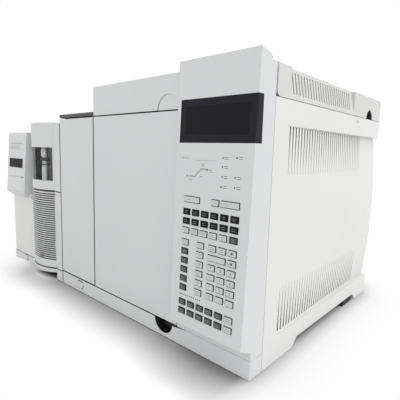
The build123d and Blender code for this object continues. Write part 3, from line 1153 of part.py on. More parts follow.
def detector_housing():
    """Shell of the detector: sides, top, back and the left front, open at the front bay."""
    z0 = STRIP_Z[1] + SLIT
    shell = block(D_LEFT, D_RIGHT, CHANNEL_Y, DETECTOR_DEPTH, z0, DETECTOR_TOP)
    top_edges = shell.edges().filter_by(Axis.Z).sort_by(Axis.Y)[:2].sort_by(Axis.X)[0]
    shell = fillet(top_edges, DETECTOR_CORNER / 2)
    lower = block(D_LEFT, BAY_LEFT, 0, CHANNEL_Y + SHEET, z0, LOWER_FRONT_TOP)
    corner = lower.edges().filter_by(Axis.Z).sort_by(Axis.Y)[:2].sort_by(Axis.X)[0]
    lower = fillet(corner, DETECTOR_CORNER / 2)
    bulb = rod((BAY_LEFT - 52, 4, LOWER_FRONT_TOP + 4), "x", 51, 9)
    bulb &= block(D_LEFT, BAY_LEFT, -BULGE, CHANNEL_Y, LOWER_FRONT_TOP - 10, DETECTOR_TOP)
    under_tower = D_LEFT + CONTROL_TOWER_WIDTH + FIT
    bulb -= block(D_LEFT, under_tower, -BULGE, CHANNEL_Y, LOWER_FRONT_TOP, DETECTOR_TOP)
    shell = shell + lower + bulb
    shell -= block(D_LEFT + SHEET, BAY_LEFT - SHEET, SHEET, CHANNEL_Y + SHEET, z0, LOWER_FRONT_TOP - SHEET)
    shell -= block(D_LEFT + SHEET, D_RIGHT - SHEET, CHANNEL_Y + SHEET, DETECTOR_DEPTH - SHEET,
                   z0, DETECTOR_TOP - SHEET)
    shell -= block(BAY_LEFT, D_RIGHT + 1, -2 * BULGE, COLUMN_DEPTH, 0, DETECTOR_TOP + 1)
    shell -= block(BAY_LEFT, D_RIGHT - SHEET, -2 * BULGE, BAY_DEPTH, 0, DETECTOR_TOP + 1)
    wall = block(BAY_LEFT - SHEET, BAY_LEFT, CHANNEL_Y, BAY_DEPTH, z0, DETECTOR_TOP)
    shell += wall
    hole = rod((D_RIGHT - SHEET - 1, TRANSFER_Y, TRANSFER_Z), "x", SHEET + 2, TRANSFER_RADIUS + 5)
    return shell - hole


def detector_column():
    """Slim front column between the curved fronts and the chromatograph."""
    column = block(COLUMN_LEFT, D_RIGHT, 0, COLUMN_DEPTH, BENCH_CLEAR, COLUMN_TOP)
    edge = column.edges().filter_by(Axis.Z).sort_by(Axis.Y)[:2].sort_by(Axis.X)[0]
    column = fillet(edge, MOULDING)
    column -= block(COLUMN_LEFT + MOULDING, D_RIGHT - MOULDING, MOULDING, COLUMN_DEPTH,
                    BENCH_CLEAR, COLUMN_TOP - MOULDING)
    height, depth = COLUMN_GROOVE
    for below, above in ((STRIP_Z[1], GRILLE_Z[0]), (GRILLE_Z[1], WINDOW_COVER_Z[0])):
        z = (below + above) / 2
        column -= block(COLUMN_LEFT, D_RIGHT, 0, depth, z - height / 2, z + height / 2)
    return column - rod((COLUMN_LEFT - 1, *COVER_PIVOT), "x", MOULDING + 1, PIN_RADIUS)


def front_span():
    """Left and right ends of the curved fronts."""
    return BAY_LEFT + SLIT, COLUMN_LEFT - SLIT


def detector_grille():
    """Swollen louvre grille: a rim with closely set curved blades, and ribs behind them."""
    x0, x1 = front_span()
    sheet = curved_sheet(x0, x1, GRILLE_SHEET, *GRILLE_Z)
    top = GRILLE_Z[1] - GRILLE_RIM_TOP
    count = int((top - GRILLE_Z[0] - GRILLE_RIM_LOW) / GRILLE_PITCH)
    slots = []
    for index in range(count):
        z = top - (index + 0.5) * GRILLE_PITCH
        slots.append(block(x0 + GRILLE_RIM, x1 - SHEET, -2 * BULGE, BULGE,
                           z - GRILLE_SLOT / 2, z + GRILLE_SLOT / 2))
    behind = curved_sheet(x0, x1, GRILLE_RIB, *GRILLE_Z, GRILLE_SHEET - GRILLE_RIB)
    third = (x1 - x0) / 3
    ribs = [behind & block(x, x + GRILLE_RIB, -2 * BULGE, BULGE, *GRILLE_Z) for x in (x0 + third, x1 - third)]
    returns = [block(x, x + SHEET, BULGE_ENDS_Y + GRILLE_SHEET - 1, BAY_DEPTH, *GRILLE_Z)
               for x in (x0, x1 - SHEET)]
    notches = [block(x, x + LUG + FIT, -BULGE, BAY_DEPTH, COVER_PIVOT[1] - LUG_RADIUS - FIT, GRILLE_Z[1])
               for x in (x0, x1 - LUG - FIT)]
    return sheet - slots + ribs + returns - notches


def window_cover():
    """Hinged cover over the analyser with a wide window in its swollen front."""
    x0, x1 = front_span()
    z0, z1 = WINDOW_COVER_Z
    cover = swollen(x0, x1, WINDOW_COVER_DEPTH, z0, z1)
    inner = swollen(x0 + MOULDING, x1 - MOULDING, WINDOW_COVER_DEPTH + 1, z0 - 1, z1 - MOULDING, MOULDING)
    window = block(x0 + WINDOW_RIM, x1 - WINDOW_RIM, -2 * BULGE, BULGE, *WINDOW_Z)
    cover = cover - inner - window
    y, z = COVER_PIVOT
    for x in (x0, x1 - LUG):
        lug = rod((x, y, z), "x", LUG, LUG_RADIUS)
        lug += block(x, x + LUG, y - SHEET, y + LUG_RADIUS, z, z0 + SHEET)
        cover = cover + lug - rod((x, y, z), "x", LUG, PIN_RADIUS + RUN)
    return cover


def viewing_window():
    """Clear curved pane behind the opening of the window cover."""
    x0, x1 = front_span()
    z0, z1 = WINDOW_Z[0] - WINDOW_RIM + SLIT, WINDOW_Z[1] + WINDOW_RIM - SLIT
    return curved_sheet(x0 + MOULDING, x1 - MOULDING, PANE, z0, z1, MOULDING)


def cover_pins():
    """Pins that carry the window cover at its two lower corners."""
    x0, x1 = front_span()
    left = rod((BAY_LEFT, *COVER_PIVOT), "x", SLIT + LUG, PIN_RADIUS)
    right = rod((x1 - LUG, *COVER_PIVOT), "x", LUG + SLIT + MOULDING - 1, PIN_RADIUS)
    return [left, right]


def vacuum_manifold():
    """Analyser housing seen through the window: a bright upright barrel in front of the block."""
    x0, x1 = -MANIFOLD_X[1], -MANIFOLD_X[0]
    middle = (x0 + x1) / 2
    block_part = block(x0, x1, MANIFOLD_Y[0] + SOURCE_RADIUS, MANIFOLD_Y[1], *MANIFOLD_Z)
    barrel = rod((middle, MANIFOLD_Y[0] + SOURCE_RADIUS, MANIFOLD_Z[0]), "z", MANIFOLD_Z[1] - MANIFOLD_Z[0],
                 SOURCE_RADIUS)
    manifold = block_part + barrel
    for z0, z1 in SOURCE_RINGS:
        manifold += rod((middle, MANIFOLD_Y[0] + SOURCE_RADIUS, z0), "z", z1 - z0, SOURCE_RADIUS + 4)
    return manifold - rod((x1 - 20, TRANSFER_Y, TRANSFER_Z), "x", 30, TRANSFER_RADIUS)


def vacuum_pump():
    """Turbo pump hung under the manifold, on its own foot ring."""
    middle = -(MANIFOLD_X[0] + MANIFOLD_X[1]) / 2
    floor = DETECTOR_FLOOR + SHEET
    flange_z = MANIFOLD_Z[0] - PUMP_FLANGE
    pump = rod((middle, PUMP_Y, flange_z), "z", PUMP_FLANGE, MANIFOLD_WIDTH / 2 + PUMP_FLANGE_EDGE)
    pump += rod((middle, PUMP_Y, PUMP_BODY_Z), "z", flange_z - PUMP_BODY_Z, PUMP_RADIUS - PUMP_BODY_IN)
    for z in PUMP_RINGS:
        pump += rod((middle, PUMP_Y, z), "z", PUMP_RING, PUMP_RADIUS)
    return pump + rod((middle, PUMP_Y, floor), "z", PUMP_BODY_Z - floor, PUMP_RADIUS - PUMP_FOOT_IN)


def transfer_line():
    """Heated tube from the oven's left wall to the analyser."""
    x0, x1 = -MANIFOLD_X[0] - 20, OVEN_LEFT + 12
    line = rod((x0, TRANSFER_Y, TRANSFER_Z), "x", x1 - x0, TRANSFER_RADIUS)
    line += rod((-MANIFOLD_X[0], TRANSFER_Y, TRANSFER_Z), "x", 6, TRANSFER_RADIUS + 8)
    return line + rod((x1, TRANSFER_Y, TRANSFER_Z), "x", 14, 4)


def control_profile(inset):
    """Side outline of the control tower."""
    z0, z1 = CONTROL_TOWER_Z
    back = CHANNEL_Y + (1 if inset else 0)
    return [(tower_y(z1) + inset, z1 - inset), (tower_y(CONTROL_CHIN) + inset, CONTROL_CHIN + inset / 2),
            (-inset / 2 - 2 + inset, z0 + inset), (back, z0 + inset), (back, z1 - inset)]


def flap_space(grow):
    """Space of the key flap in the control tower's face."""
    z0, z1 = FLAP_COVER_Z
    x0, x1 = D_LEFT + FLAP_COVER_EDGE - grow, D_LEFT + CONTROL_TOWER_WIDTH - FLAP_COVER_EDGE + grow
    return prism_x(x0, x1, [(tower_y(z1) - grow, z1 + grow), (tower_y(z0) - grow, z0 - grow),
                            (tower_y(z0) + FLAP_COVER_SHEET + grow, z0 - grow),
                            (tower_y(z1) + FLAP_COVER_SHEET + grow, z1 + grow)])


def control_tower():
    """Small raised control panel at the detector's top left."""
    x0, x1 = D_LEFT, D_LEFT + CONTROL_TOWER_WIDTH
    shell = prism_x(x0, x1, control_profile(0))
    shell -= prism_x(x0 + MOULDING + 2, x1 - MOULDING - 2, control_profile(MOULDING + 2))
    shell -= small_display_space()
    return shell - flap_space(FIT)


def small_display_space():
    z0, z1 = SMALL_DISPLAY_Z
    return prism_x(D_LEFT + SMALL_DISPLAY_X[0], D_LEFT + SMALL_DISPLAY_X[1], [
        (tower_y(z1) - 0.1, z1), (tower_y(z0) - 0.1, z0), (tower_y(z0) + LENS, z0), (tower_y(z1) + LENS, z1)])


def tower_flap():
    """Thin flap over the control keys, hinged at its lower edge."""
    flap = flap_space(0)
    return flap


# ---- nodes ----
KEY_GROUPS = key_spots()

NODES = {
    "base_pan": base_pan,
    "front_bezel": front_bezel,
    "left_front_panel": left_front_panel,
    "left_side_panel": left_side_panel,
    "right_side_panel": right_side_panel,
    "rear_panel": rear_panel,
    "top_deck": top_deck,
    "pneumatics_cover": pneumatics_cover,
    "electronics_cover": electronics_cover,
    "feet": feet,
    "front_fascia": front_fascia,
    "display_lens": display_lens,
    "keypad_board": keypad_board,
    "oven_liner": oven_liner,
    "oven_insulation": oven_insulation,
    "fan_shroud": fan_shroud,
    "oven_fan": oven_fan,
    "fan_shaft": fan_shaft,
    "fan_motor": fan_motor,
    "heater_coil": heater_coil,
    "column_coil": column_coil,
    "column_cage": column_cage,
    "inlets": inlets,
    "door_panel": door_panel,
    "door_inner": door_inner,
    "door_seal": door_seal,
    "hinge_pins": hinge_pins,
    "injector_cover": injector_cover,
    "latch_paddle": latch_paddle,
    "power_button": lambda: push_button(BUTTON_X),
    "detector_power_button": lambda: push_button(DETECTOR_BUTTON_X),
    "button_switches": button_switches,
    "exhaust_duct": exhaust_duct,
    "vent_flap": vent_flap,
    "vent_motor": vent_motor,
    "gas_fittings": gas_fittings,
    "power_inlet": power_inlet,
    "panel_screws": panel_screws,
    "bulkhead": bulkhead,
    "main_board": main_board,
    "power_supply": power_supply,
    "detector_base": detector_base,
    "base_strip": base_strip,
    "detector_housing": detector_housing,
    "detector_column": detector_column,
    "detector_grille": detector_grille,
    "window_cover": window_cover,
    "viewing_window": viewing_window,
    "vacuum_manifold": vacuum_manifold,
    "vacuum_pump": vacuum_pump,
    "transfer_line": transfer_line,
    "control_tower": control_tower,
    "tower_display": small_display_space,
    "tower_flap": tower_flap,
}
for group in KEY_GROUPS:
    NODES[group] = lambda group=group: keys(group)


def main():
    os.makedirs("parts", exist_ok=True)
    for name, make in NODES.items():
        export_step(Pos(-MID_X, -MID_Y, 0) * make(), f"parts/{name}.step")


main()
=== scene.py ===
import math

import bpy
import numpy as np
from bpy.props import FloatProperty, FloatVectorProperty, IntProperty, PointerProperty
from mathutils import Matrix, Vector


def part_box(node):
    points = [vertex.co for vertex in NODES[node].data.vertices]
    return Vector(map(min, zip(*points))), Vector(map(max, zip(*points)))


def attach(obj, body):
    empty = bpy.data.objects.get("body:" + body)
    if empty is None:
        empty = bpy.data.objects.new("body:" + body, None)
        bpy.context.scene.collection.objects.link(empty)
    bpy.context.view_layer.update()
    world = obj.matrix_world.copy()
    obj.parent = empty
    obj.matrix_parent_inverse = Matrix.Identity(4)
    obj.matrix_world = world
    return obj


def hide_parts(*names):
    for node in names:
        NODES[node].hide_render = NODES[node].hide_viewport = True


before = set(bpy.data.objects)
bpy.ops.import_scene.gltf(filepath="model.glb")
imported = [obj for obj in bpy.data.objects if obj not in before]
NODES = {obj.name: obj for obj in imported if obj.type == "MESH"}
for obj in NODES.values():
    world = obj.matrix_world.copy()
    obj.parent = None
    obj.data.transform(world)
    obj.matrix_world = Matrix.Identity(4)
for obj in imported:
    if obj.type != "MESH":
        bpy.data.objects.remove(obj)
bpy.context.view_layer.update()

bl_info = {
    "name": "Gas chromatograph dressing",
    "version": (1, 0, 0),
    "blender": (4, 5, 0),
    "location": "3D View > Sidebar > Chromatograph",
    "description": "Finishes, windings, printed marks and stage for a bench gas chromatograph",
    "category": "Object",
}

MM = 0.001
FAR = 10.0  # past every part of the object, for a mask open at one end
SEAM_SHADE = (0.012, 0.012, 0.013)  # painted shade: near-black colour on faces down in a seam, standing in for the shade there
SEAM = 0.0012  # a front's faces lie in a seam from this far behind its plane
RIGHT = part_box("right_side_panel")[1].x  # the chromatograph's right side
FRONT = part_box("door_panel")[0].y  # plane of the oven door
X_AXIS, Y_AXIS, Z_AXIS = np.eye(3)

# key rows and columns on the sloping face, in millimetres from the right side and from the bench
KEY_COLUMNS = (122.4, 103.1, 83.8, 64.6, 45.3, 26.0)
NUMBER_COLUMNS = (89.2, *KEY_COLUMNS[3:])
NUMBER_ROWS = (200.9, 185.7, 170.5, 155.3, 140.1, 124.9)
DARK_ROWS = (251.0, 235.7)
THIRD_ROW = 220.4
SERVICE_ROWS = (100.0, 84.8)
TOP_ROW = 271.2
TOP_KEYS = (("start_key", 41.5, 8.0), ("stop_key", 64.0, 6.0), ("prep_key", 118.4, 9.0))
NUMERALS = ("789", "456", "123", "0.-")


# ---- sizes and colours that a user would change ----
def length(name, description, value):
    """Float property that holds a length in metres."""
    return FloatProperty(name=name, description=description, default=value, min=0.0, max=1.0,
                         unit="LENGTH", precision=5)


def colour(name, description, value):
    """Linear colour property."""
    return FloatVectorProperty(name=name, description=description, default=value, size=3, min=0.0,
                               max=1.0, subtype="COLOR")


class ChromatographSizes(bpy.types.PropertyGroup):
    """Sizes of the pieces that this add-on makes."""
    face_top: length("Face at top", "How far the sloping face stands proud at its top", 0.009)
    face_low: length("Face at chin", "How far it stands proud at its chin", 0.027)
    face_high: length("Top height", "Height of the face's top edge", 0.490)
    face_chin: length("Chin height", "Height of its chin", 0.060)
    key_proud: length("Key height", "How far the key caps stand proud of the face", 0.0016)
    ink: length("Ink thickness", "Thickness of the printed marks", 0.00006)
    line: length("Line width", "Width of the printed lines", 0.0007)
    lamp_radius: length("Lamp radius", "Radius of a status lamp", 0.0014)
    lamp_height: length("Lamp height", "Height of a status lamp's dome", 0.0006)
    capillary: length("Capillary radius", "Radius of the wound capillary", 0.0006)
    capillary_turns: IntProperty(name="Capillary turns", description="Turns of the column", default=30,
                                 min=3, max=80)
    heater_wire: length("Heater wire radius", "Radius of the heater's wire", 0.0005)
    heater_turns: IntProperty(name="Heater turns", description="Turns of wire round the heater's ring",
                              default=96, min=8, max=300)
    screw_recess: length("Screw recess", "Depth of the cross in a screw head", 0.0009)
    edge: length("Edge rounding", "Radius at which edges catch the light", 0.0007)


class ChromatographColours(bpy.types.PropertyGroup):
    """Colours of the finishes."""
    casing: colour("Casing", "Powder coat of the covers and panels", (0.770, 0.768, 0.757))
    front: colour("Fronts", "Moulded and painted fronts", (0.700, 0.706, 0.712))
    deck: colour("Deck", "Dark deck under the covers", (0.085, 0.086, 0.088))
    lens: colour("Lens", "Display lenses", (0.010, 0.010, 0.013))
    key_dark: colour("Dark keys", "Function keys", (0.008, 0.008, 0.009))
    key_grey: colour("Grey keys", "Service keys", (0.085, 0.086, 0.089))
    key_light: colour("Light keys", "Number and mode keys", (0.640, 0.655, 0.655))
    # painted shade: the dark colour of the key sides stands in for the shade in the gaps round the keys
    key_side_shade: colour("Key sides", "Sides of the light keys", (0.055, 0.056, 0.058))
    ink: colour("Ink", "Printed marks on the face", (0.110, 0.115, 0.120))
    ink_faint: colour("Faint ink", "Bars on the light keys", (0.330, 0.340, 0.345))
    ink_tower: colour("Tower ink", "Bars on the control tower", (0.440, 0.450, 0.460))
    ink_pale: colour("Pale ink", "Marks on the dark and grey keys", (0.150, 0.152, 0.156))
    steel: colour("Steel", "Sheet steel", (0.560, 0.555, 0.545))
    oven: colour("Oven steel", "Heat-dulled stainless of the oven", (0.430, 0.415, 0.390))
    aluminium: colour("Aluminium", "Machined and cast aluminium", (0.690, 0.690, 0.700))
    brass: colour("Brass", "Tube fittings", (0.640, 0.470, 0.200))
    lagging: colour("Lagging", "Ceramic-fibre board", (0.700, 0.670, 0.590))
    seal: colour("Seal", "Braided glass seal of the door", (0.560, 0.545, 0.500))
    board: colour("Circuit board", "Solder mask", (0.020, 0.120, 0.055))
    rubber: colour("Rubber", "Feet", (0.018, 0.018, 0.019))
    black: colour("Black plastic", "Latch, switches and inlet", (0.020, 0.020, 0.021))
    capillary: colour("Capillary", "Coated silica column", (0.300, 0.130, 0.035))
    lamp: colour("Lamps", "Unlit status lamps", (0.050, 0.075, 0.055))


def sizes():
    return bpy.context.scene.chromatograph_sizes


def colours():
    return bpy.context.scene.chromatograph_colours


# ---- surfaces ----
def ring_faces(rings, sides, closed=False):
    """Faces of a stack of rings: quads between neighbours, and a cap at each end unless the stack closes."""
    i = np.arange(rings if closed else rings - 1)[:, None]
    j = np.arange(sides)[None, :]
    i1, j1 = (i + 1) % rings, (j + 1) % sides
    corners = np.broadcast_arrays(i * sides + j, i * sides + j1, i1 * sides + j1, i1 * sides + j)
    faces = [tuple(face) for face in np.stack(corners, axis=-1).reshape(-1, 4)]
    if not closed:
        faces += [tuple(range(sides))[::-1], tuple((rings - 1) * sides + k for k in range(sides))]
    return faces


def slab(corners):
    """Box from its eight corners: four round one face, and the same four on the face that it rises to."""
    return np.array(corners, float), ring_faces(2, 4)


def piece(name, parts, body, material, smooth=True):
    """Joins (points, faces) parts into one object that rides on a body."""
    points, faces, start = [], [], 0
    for part_points, part_faces in parts:
        part_points = np.asarray(part_points, float).reshape(-1, 3)
        faces += [tuple(int(k) + start for k in face) for face in part_faces]
        points.append(part_points)
        start += len(part_points)
    mesh = bpy.data.meshes.new(name)
    mesh.from_pydata(np.concatenate(points).tolist(), [], faces)
    mesh.polygons.foreach_set("use_smooth", np.full(len(mesh.polygons), smooth))
    mesh.update()
    mesh.materials.append(material)
    obj = bpy.data.objects.new(name, mesh)
    bpy.context.scene.collection.objects.link(obj)
    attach(obj, body)
    return obj


def tube_along(path, across, up, radius, sides=6, closed=False):
    """Round tube on a path: centre + radius * (cos a * across + sin a * up), one ring for each path point."""
    a = np.linspace(0.0, 2 * np.pi, sides, endpoint=False)[None, :, None]
    points = path[:, None, :] + radius * (np.cos(a) * across[:, None, :] + np.sin(a) * up[:, None, :])
    return points.reshape(-1, 3), ring_faces(len(path), sides, closed)


def straight_tube(start, end, radius, sides=8):
    """Round rod between two points, closed at both ends."""
    start, end = np.array(start, float), np.array(end, float)
    along = (end - start) / np.linalg.norm(end - start)
    across = np.cross(Z_AXIS if abs(along[2]) < 0.9 else X_AXIS, along)
    across /= np.linalg.norm(across)
    up = np.cross(along, across)
    return tube_along(np.stack([start, end]), np.tile(across, (2, 1)), np.tile(up, (2, 1)), radius, sides)


def turned(profile, centre, axis, across, up, sides=24):
    """Surface of revolution: (radius, height) pairs turned about an axis, from the rim to the middle."""
    a = np.linspace(0.0, 2 * np.pi, sides, endpoint=False)[None, :, None]
    profile = np.asarray(profile, float)
    ring = profile[:, 0][:, None, None] * (np.cos(a) * across + np.sin(a) * up)
    points = centre + ring + profile[:, 1][:, None, None] * axis
    return points.reshape(-1, 3), ring_faces(len(profile), sides)


def face_fall():
    """How far the sloping face comes forward for each metre down."""
    s = sizes()
    return (s.face_low - s.face_top) / (s.face_high - s.face_chin)


def face_y(z):
    """Sloping face: the proud distance grows evenly from the top edge down to the chin."""
    s = sizes()
    return FRONT - s.face_top - face_fall() * (s.face_high - z)


def on_face(x, z, proud=0.0):
    """Point on the sloping face from millimetres to the left of the right side and above the bench."""
    z = np.asarray(z, float) * MM
    x = RIGHT - np.asarray(x, float) * MM
    return np.stack(np.broadcast_arrays(x, face_y(z) - proud, z), axis=-1)


def ribbon(corners, proud):
    """Thin closed plate on the face: the outline's corners at the face and again at the ink's height."""
    s = sizes()
    x, z = np.array(corners, float).T
    count = len(x)
    low = on_face(x, z, proud - 0.3 * s.ink)
    high = on_face(x, z, proud + s.ink)
    around = [(k, (k + 1) % count, count + (k + 1) % count, count + k) for k in range(count)]
    faces = around + [tuple(range(count))[::-1], tuple(range(count, 2 * count))]
    return np.concatenate([low, high]), faces


def bar(x, z, width, height, proud):
    """Printed bar with its middle at x and z."""
    w, h = width / 2, height / 2
    return ribbon([(x + w, z - h), (x - w, z - h), (x - w, z + h), (x + w, z + h)], proud)


def stroke(points, width, proud):
    """Printed line through points: each run is a plate of the line's width."""
    plates = []
    for (x0, z0), (x1, z1) in zip(points[:-1], points[1:]):
        run = math.hypot(x1 - x0, z1 - z0)
        dx, dz = (x1 - x0) / run * width / 2, (z1 - z0) / run * width / 2
        plates.append(ribbon([(x0 - dx - dz, z0 - dz + dx), (x0 - dx + dz, z0 - dz - dx),
                              (x1 + dx + dz, z1 + dz - dx), (x1 + dx - dz, z1 + dz + dx)][::-1], proud))
    return plates


# ---- shaders ----
def math_node(operation, swapped=False):
    """Method that adds one Math node, on this value and another."""
    def method(self, other=0.0):
        return self.math(operation, other, self) if swapped else self.math(operation, self, other)
    return method


class Flow:
    """Value of one socket. An operator adds the Math node that works it out."""

    def __init__(self, graph, socket):
        self.graph, self.socket = graph, socket

    def math(self, operation, *values, clamp=False):
        return self.graph.node("Math", dict(enumerate(values)), operation=operation, use_clamp=clamp)

    def clamped(self):
        return self.math("ADD", self, 0.0, clamp=True)

    def hypot(self, other):
        return self.math("SQRT", self * self + other * other)

    __add__ = __radd__ = math_node("ADD")
    __mul__ = __rmul__ = math_node("MULTIPLY")
    __sub__, __rsub__ = math_node("SUBTRACT"), math_node("SUBTRACT", swapped=True)
    __truediv__, __pow__ = math_node("DIVIDE"), math_node("POWER")
    __lt__, __gt__ = math_node("LESS_THAN"), math_node("GREATER_THAN")
    most, size, wave = math_node("MAXIMUM"), math_node("ABSOLUTE"), math_node("SINE")


class Graph:
    """The node tree of a material or a world."""

    def __init__(self, owner):
        owner.use_nodes = True
        self.tree = owner.node_tree
        self.tree.nodes.clear()

    def node(self, kind, inputs=None, out=0, **settings):
        """Adds a node: its settings first, then its sockets' values or links. Returns one output."""
        made = self.tree.nodes.new("ShaderNode" + kind)
        for key, value in settings.items():
            setattr(made, key, value)
        for key, value in (inputs or {}).items():
            if isinstance(value, Flow):
                self.tree.links.new(value.socket, made.inputs[key])
            else:
                made.inputs[key].default_value = value
        return Flow(self, made.outputs[out])

    def output(self, shader, kind="Material"):
        end = self.tree.nodes.new("ShaderNodeOutput" + kind)
        self.tree.links.new(shader.socket, end.inputs["Surface"])


class Finish(Graph):
    """One material, built from nodes that read Object coordinates."""

    def __init__(self, name):
        self.material = bpy.data.materials.new(name)
        super().__init__(self.material)
        self.place = self.node("TexCoord", out="Object")

    def axes(self):
        """The three Object coordinates, in metres."""
        made = self.node("SeparateXYZ", {0: self.place}).socket.node
        return [Flow(self, socket) for socket in made.outputs]

    def noise(self, scale, detail=2.0, rough=0.5, stretch=(1.0, 1.0, 1.0)):
        """Noise from 0 to 1; scale is in ripples a metre, and stretch multiplies it along each axis."""
        where = self.node("VectorMath", {0: self.place, 1: stretch}, operation="MULTIPLY")
        return self.node("TexNoise", {"Vector": where, "Scale": scale, "Detail": detail, "Roughness": rough})

    def blend(self, factor, first, second):
        """Colour between two colours."""
        def four(value):
            return value if isinstance(value, Flow) else (*value, 1.0)
        return self.node("Mix", {0: factor, 6: four(first), 7: four(second)}, out=2, data_type="RGBA")

    def mottled(self, factor, base, first, second):
        """Colour between two strengths of a base."""
        return self.blend(factor, shade(base, first), shade(base, second))

    def finished(self, colour, base, pale, lift, painted_shade):
        """Colour with paler edges, and painted shade, a near-black colour, where the given mask says so."""
        colour = self.blend(self.rim(sizes().edge) * pale, colour, shade(base, lift))
        return self.blend(painted_shade(self), colour, SEAM_SHADE) if painted_shade else colour

    def within(self, x=None, y=None, z=None):
        """1 inside the given ranges of the Object coordinates, and 0 outside them."""
        inside = None
        for place, limits in zip(self.axes(), (x, y, z)):
            if limits is not None:
                this = (place > limits[0]) * (place < limits[1])
                inside = this if inside is None else inside * this
        return inside

    def outside(self, node, inset, shift=0.0):
        """How far a point lies past the sides, and the top or bottom, of a node's box less an inset. The
        shift is to the left and up."""
        low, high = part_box(node)
        x, _, z = self.axes()
        return ((x - (low.x + high.x) / 2 + shift).size() - ((high.x - low.x) / 2 - inset),
                (z - (low.z + high.z) / 2 - shift).size() - ((high.z - low.z) / 2 - inset))

    def facing(self, axis):
        """How far a surface faces along an axis, either way: 1 when it lies square to it."""
        normal = self.node("NewGeometry", out="Normal")
        made = self.node("SeparateXYZ", {0: normal}).socket.node
        return Flow(self, made.outputs["XYZ".index(axis)]).size()

    def rim(self, radius):
        """1 near an edge and 0 away from it: how far a rounded normal leans from the flat one."""
        rounded = self.node("Bevel", {"Radius": radius}, samples=4)
        flat = self.node("NewGeometry", out="Normal")
        lean = self.node("VectorMath", {0: rounded, 1: flat}, out="Value", operation="DOT_PRODUCT")
        return ((1.0 - lean) * 6.0).clamped()

    def surface(self, colour, rough, height=None, depth=0.0, edge=0.0, metal=0.0, **constants):
        """Principled surface. height is a Flow from 0 to 1 and depth its size in metres."""
        inputs = {"Base Color": colour if isinstance(colour, Flow) else (*colour, 1.0), "Roughness": rough,
                  "Metallic": metal}
        inputs.update({key.replace("_", " "): value for key, value in constants.items()})
        normal = self.node("Bevel", {"Radius": edge}, samples=4) if edge else None
        if height is not None:
            bump = {"Height": height, "Distance": depth, "Strength": 1.0}
            if normal is not None:
                bump["Normal"] = normal
            normal = self.node("Bump", bump)
        if normal is not None:
            inputs["Normal"] = normal
        self.output(self.node("BsdfPrincipled", inputs))
        return self.material


def shade(value, amount):
    """The colour made darker or lighter by a factor."""
    return tuple(min(1.0, channel * amount) for channel in value)


def powder_coat(name, base, painted_shade=None, rough=0.42):
    """Sprayed paint: fine orange peel, broad faint unevenness, dust low down and paler edges. The optional
    mask
    marks painted shade: faces in seams and hollows, painted near-black where shade falls."""
    finish = Finish(name)
    z = finish.axes()[2]
    cloud = finish.noise(5.0, 3.0, 0.6)
    scuff = (finish.noise(60.0, 4.0, 0.7, (1.0, 1.0, 0.25)) - 0.62) * 4.0
    dust = (1.0 - z / 0.05).clamped() * 0.10
    colour = finish.mottled(cloud, base, 1.02, 0.965)
    colour = finish.blend(scuff.clamped() * 0.10, colour, shade(base, 0.80))
    colour = finish.blend(dust, colour, (0.42, 0.40, 0.36))
    colour = finish.finished(colour, base, 0.18, 1.15, painted_shade)
    peel = finish.noise(620.0, 2.0, 0.5)
    roughness = finish.noise(35.0, 3.0) * 0.14 + (rough - 0.07)
    return finish.surface(colour, roughness, peel, 0.00004, sizes().edge, Specular_IOR_Level=0.4)


def moulding(name, base, painted_shade=None):
    """Moulded plastic: a fine spark-eroded grain with faint flow marks, and painted shade on faces in seams
    and hollows where the mask says so.
    """
    finish = Finish(name)
    flow = finish.noise(4.0, 2.0, 0.5, (1.0, 1.0, 0.4))
    rub = (finish.noise(42.0, 4.0, 0.7) - 0.60) * 4.0
    colour = finish.mottled(flow, base, 1.015, 0.97)
    colour = finish.blend(rub.clamped() * 0.08, colour, shade(base, 0.82))
    colour = finish.finished(colour, base, 0.14, 1.14, painted_shade)
    texture = finish.noise(1700.0, 1.0, 0.5)
    roughness = finish.noise(70.0, 2.0) * 0.10 + 0.35
    return finish.surface(colour, roughness, texture, 0.00003, sizes().edge, Specular_IOR_Level=0.4)


def key_cap(name, base, side=None, gloss=0.35):
    """Key cap: grained top, and painted shade on the sides below a set height over the face, where they stand
    down in their openings.
    """
    finish = Finish(name)
    _, y, z = finish.axes()
    proud = face_y(z) - y
    worn = finish.noise(160.0, 3.0, 0.6)
    colour = finish.mottled(worn, base, 1.08, 0.90)
    if side is not None:
        # painted shade on the key's sides, below the set height over the face
        colour = finish.blend(proud < 0.80 * sizes().key_proud, colour, side)
    texture = finish.noise(2300.0, 1.0)
    return finish.surface(colour, worn * 0.16 + 0.38, texture, 0.00002, 0.0004, Specular_IOR_Level=gloss)


def brushed(name, base, along=(0.04, 1.0, 1.0), rough=0.34, stain=0.0):
    """Brushed sheet metal: streaks drawn out along one axis, and a heat stain where it is asked for."""
    finish = Finish(name)
    streak = finish.noise(900.0, 3.0, 0.6, along)
    patch = finish.noise(9.0, 4.0, 0.6)
    colour = finish.mottled(streak, base, 1.10, 0.82)
    colour = finish.blend(patch * stain, colour, (0.27, 0.19, 0.10))
    roughness = streak * 0.22 + patch * 0.10 + (rough - 0.14)
    return finish.surface(colour, roughness, streak, 0.00002, 0.0004, metal=1.0)


def black_part(name, base, rough=0.5):
    """Black moulding or rubber, with a bloom that lifts its grain."""
    finish = Finish(name)
    bloom = finish.noise(120.0, 4.0, 0.65)
    colour = finish.mottled(bloom, base, 0.8, 1.9)
    return finish.surface(colour, bloom * 0.2 + (rough - 0.1), finish.noise(1500.0, 1.0), 0.00003, 0.0004)


def lens(node, base, inset, gloss):
    """Polished dark lens: a slightly lighter border round the lit field, and faint wiping smears."""
    finish = Finish(node + "_polish")
    wide, tall = finish.outside(node, inset)
    border = (wide.most(tall) / 0.0006).clamped()
    smear = finish.noise(26.0, 3.0, 0.6, (1.0, 1.0, 3.0))
    colour = finish.blend(border, base, shade(base, 1.8))
    return finish.surface(colour, smear * 0.07 + 0.05, edge=0.0005, Specular_IOR_Level=gloss)


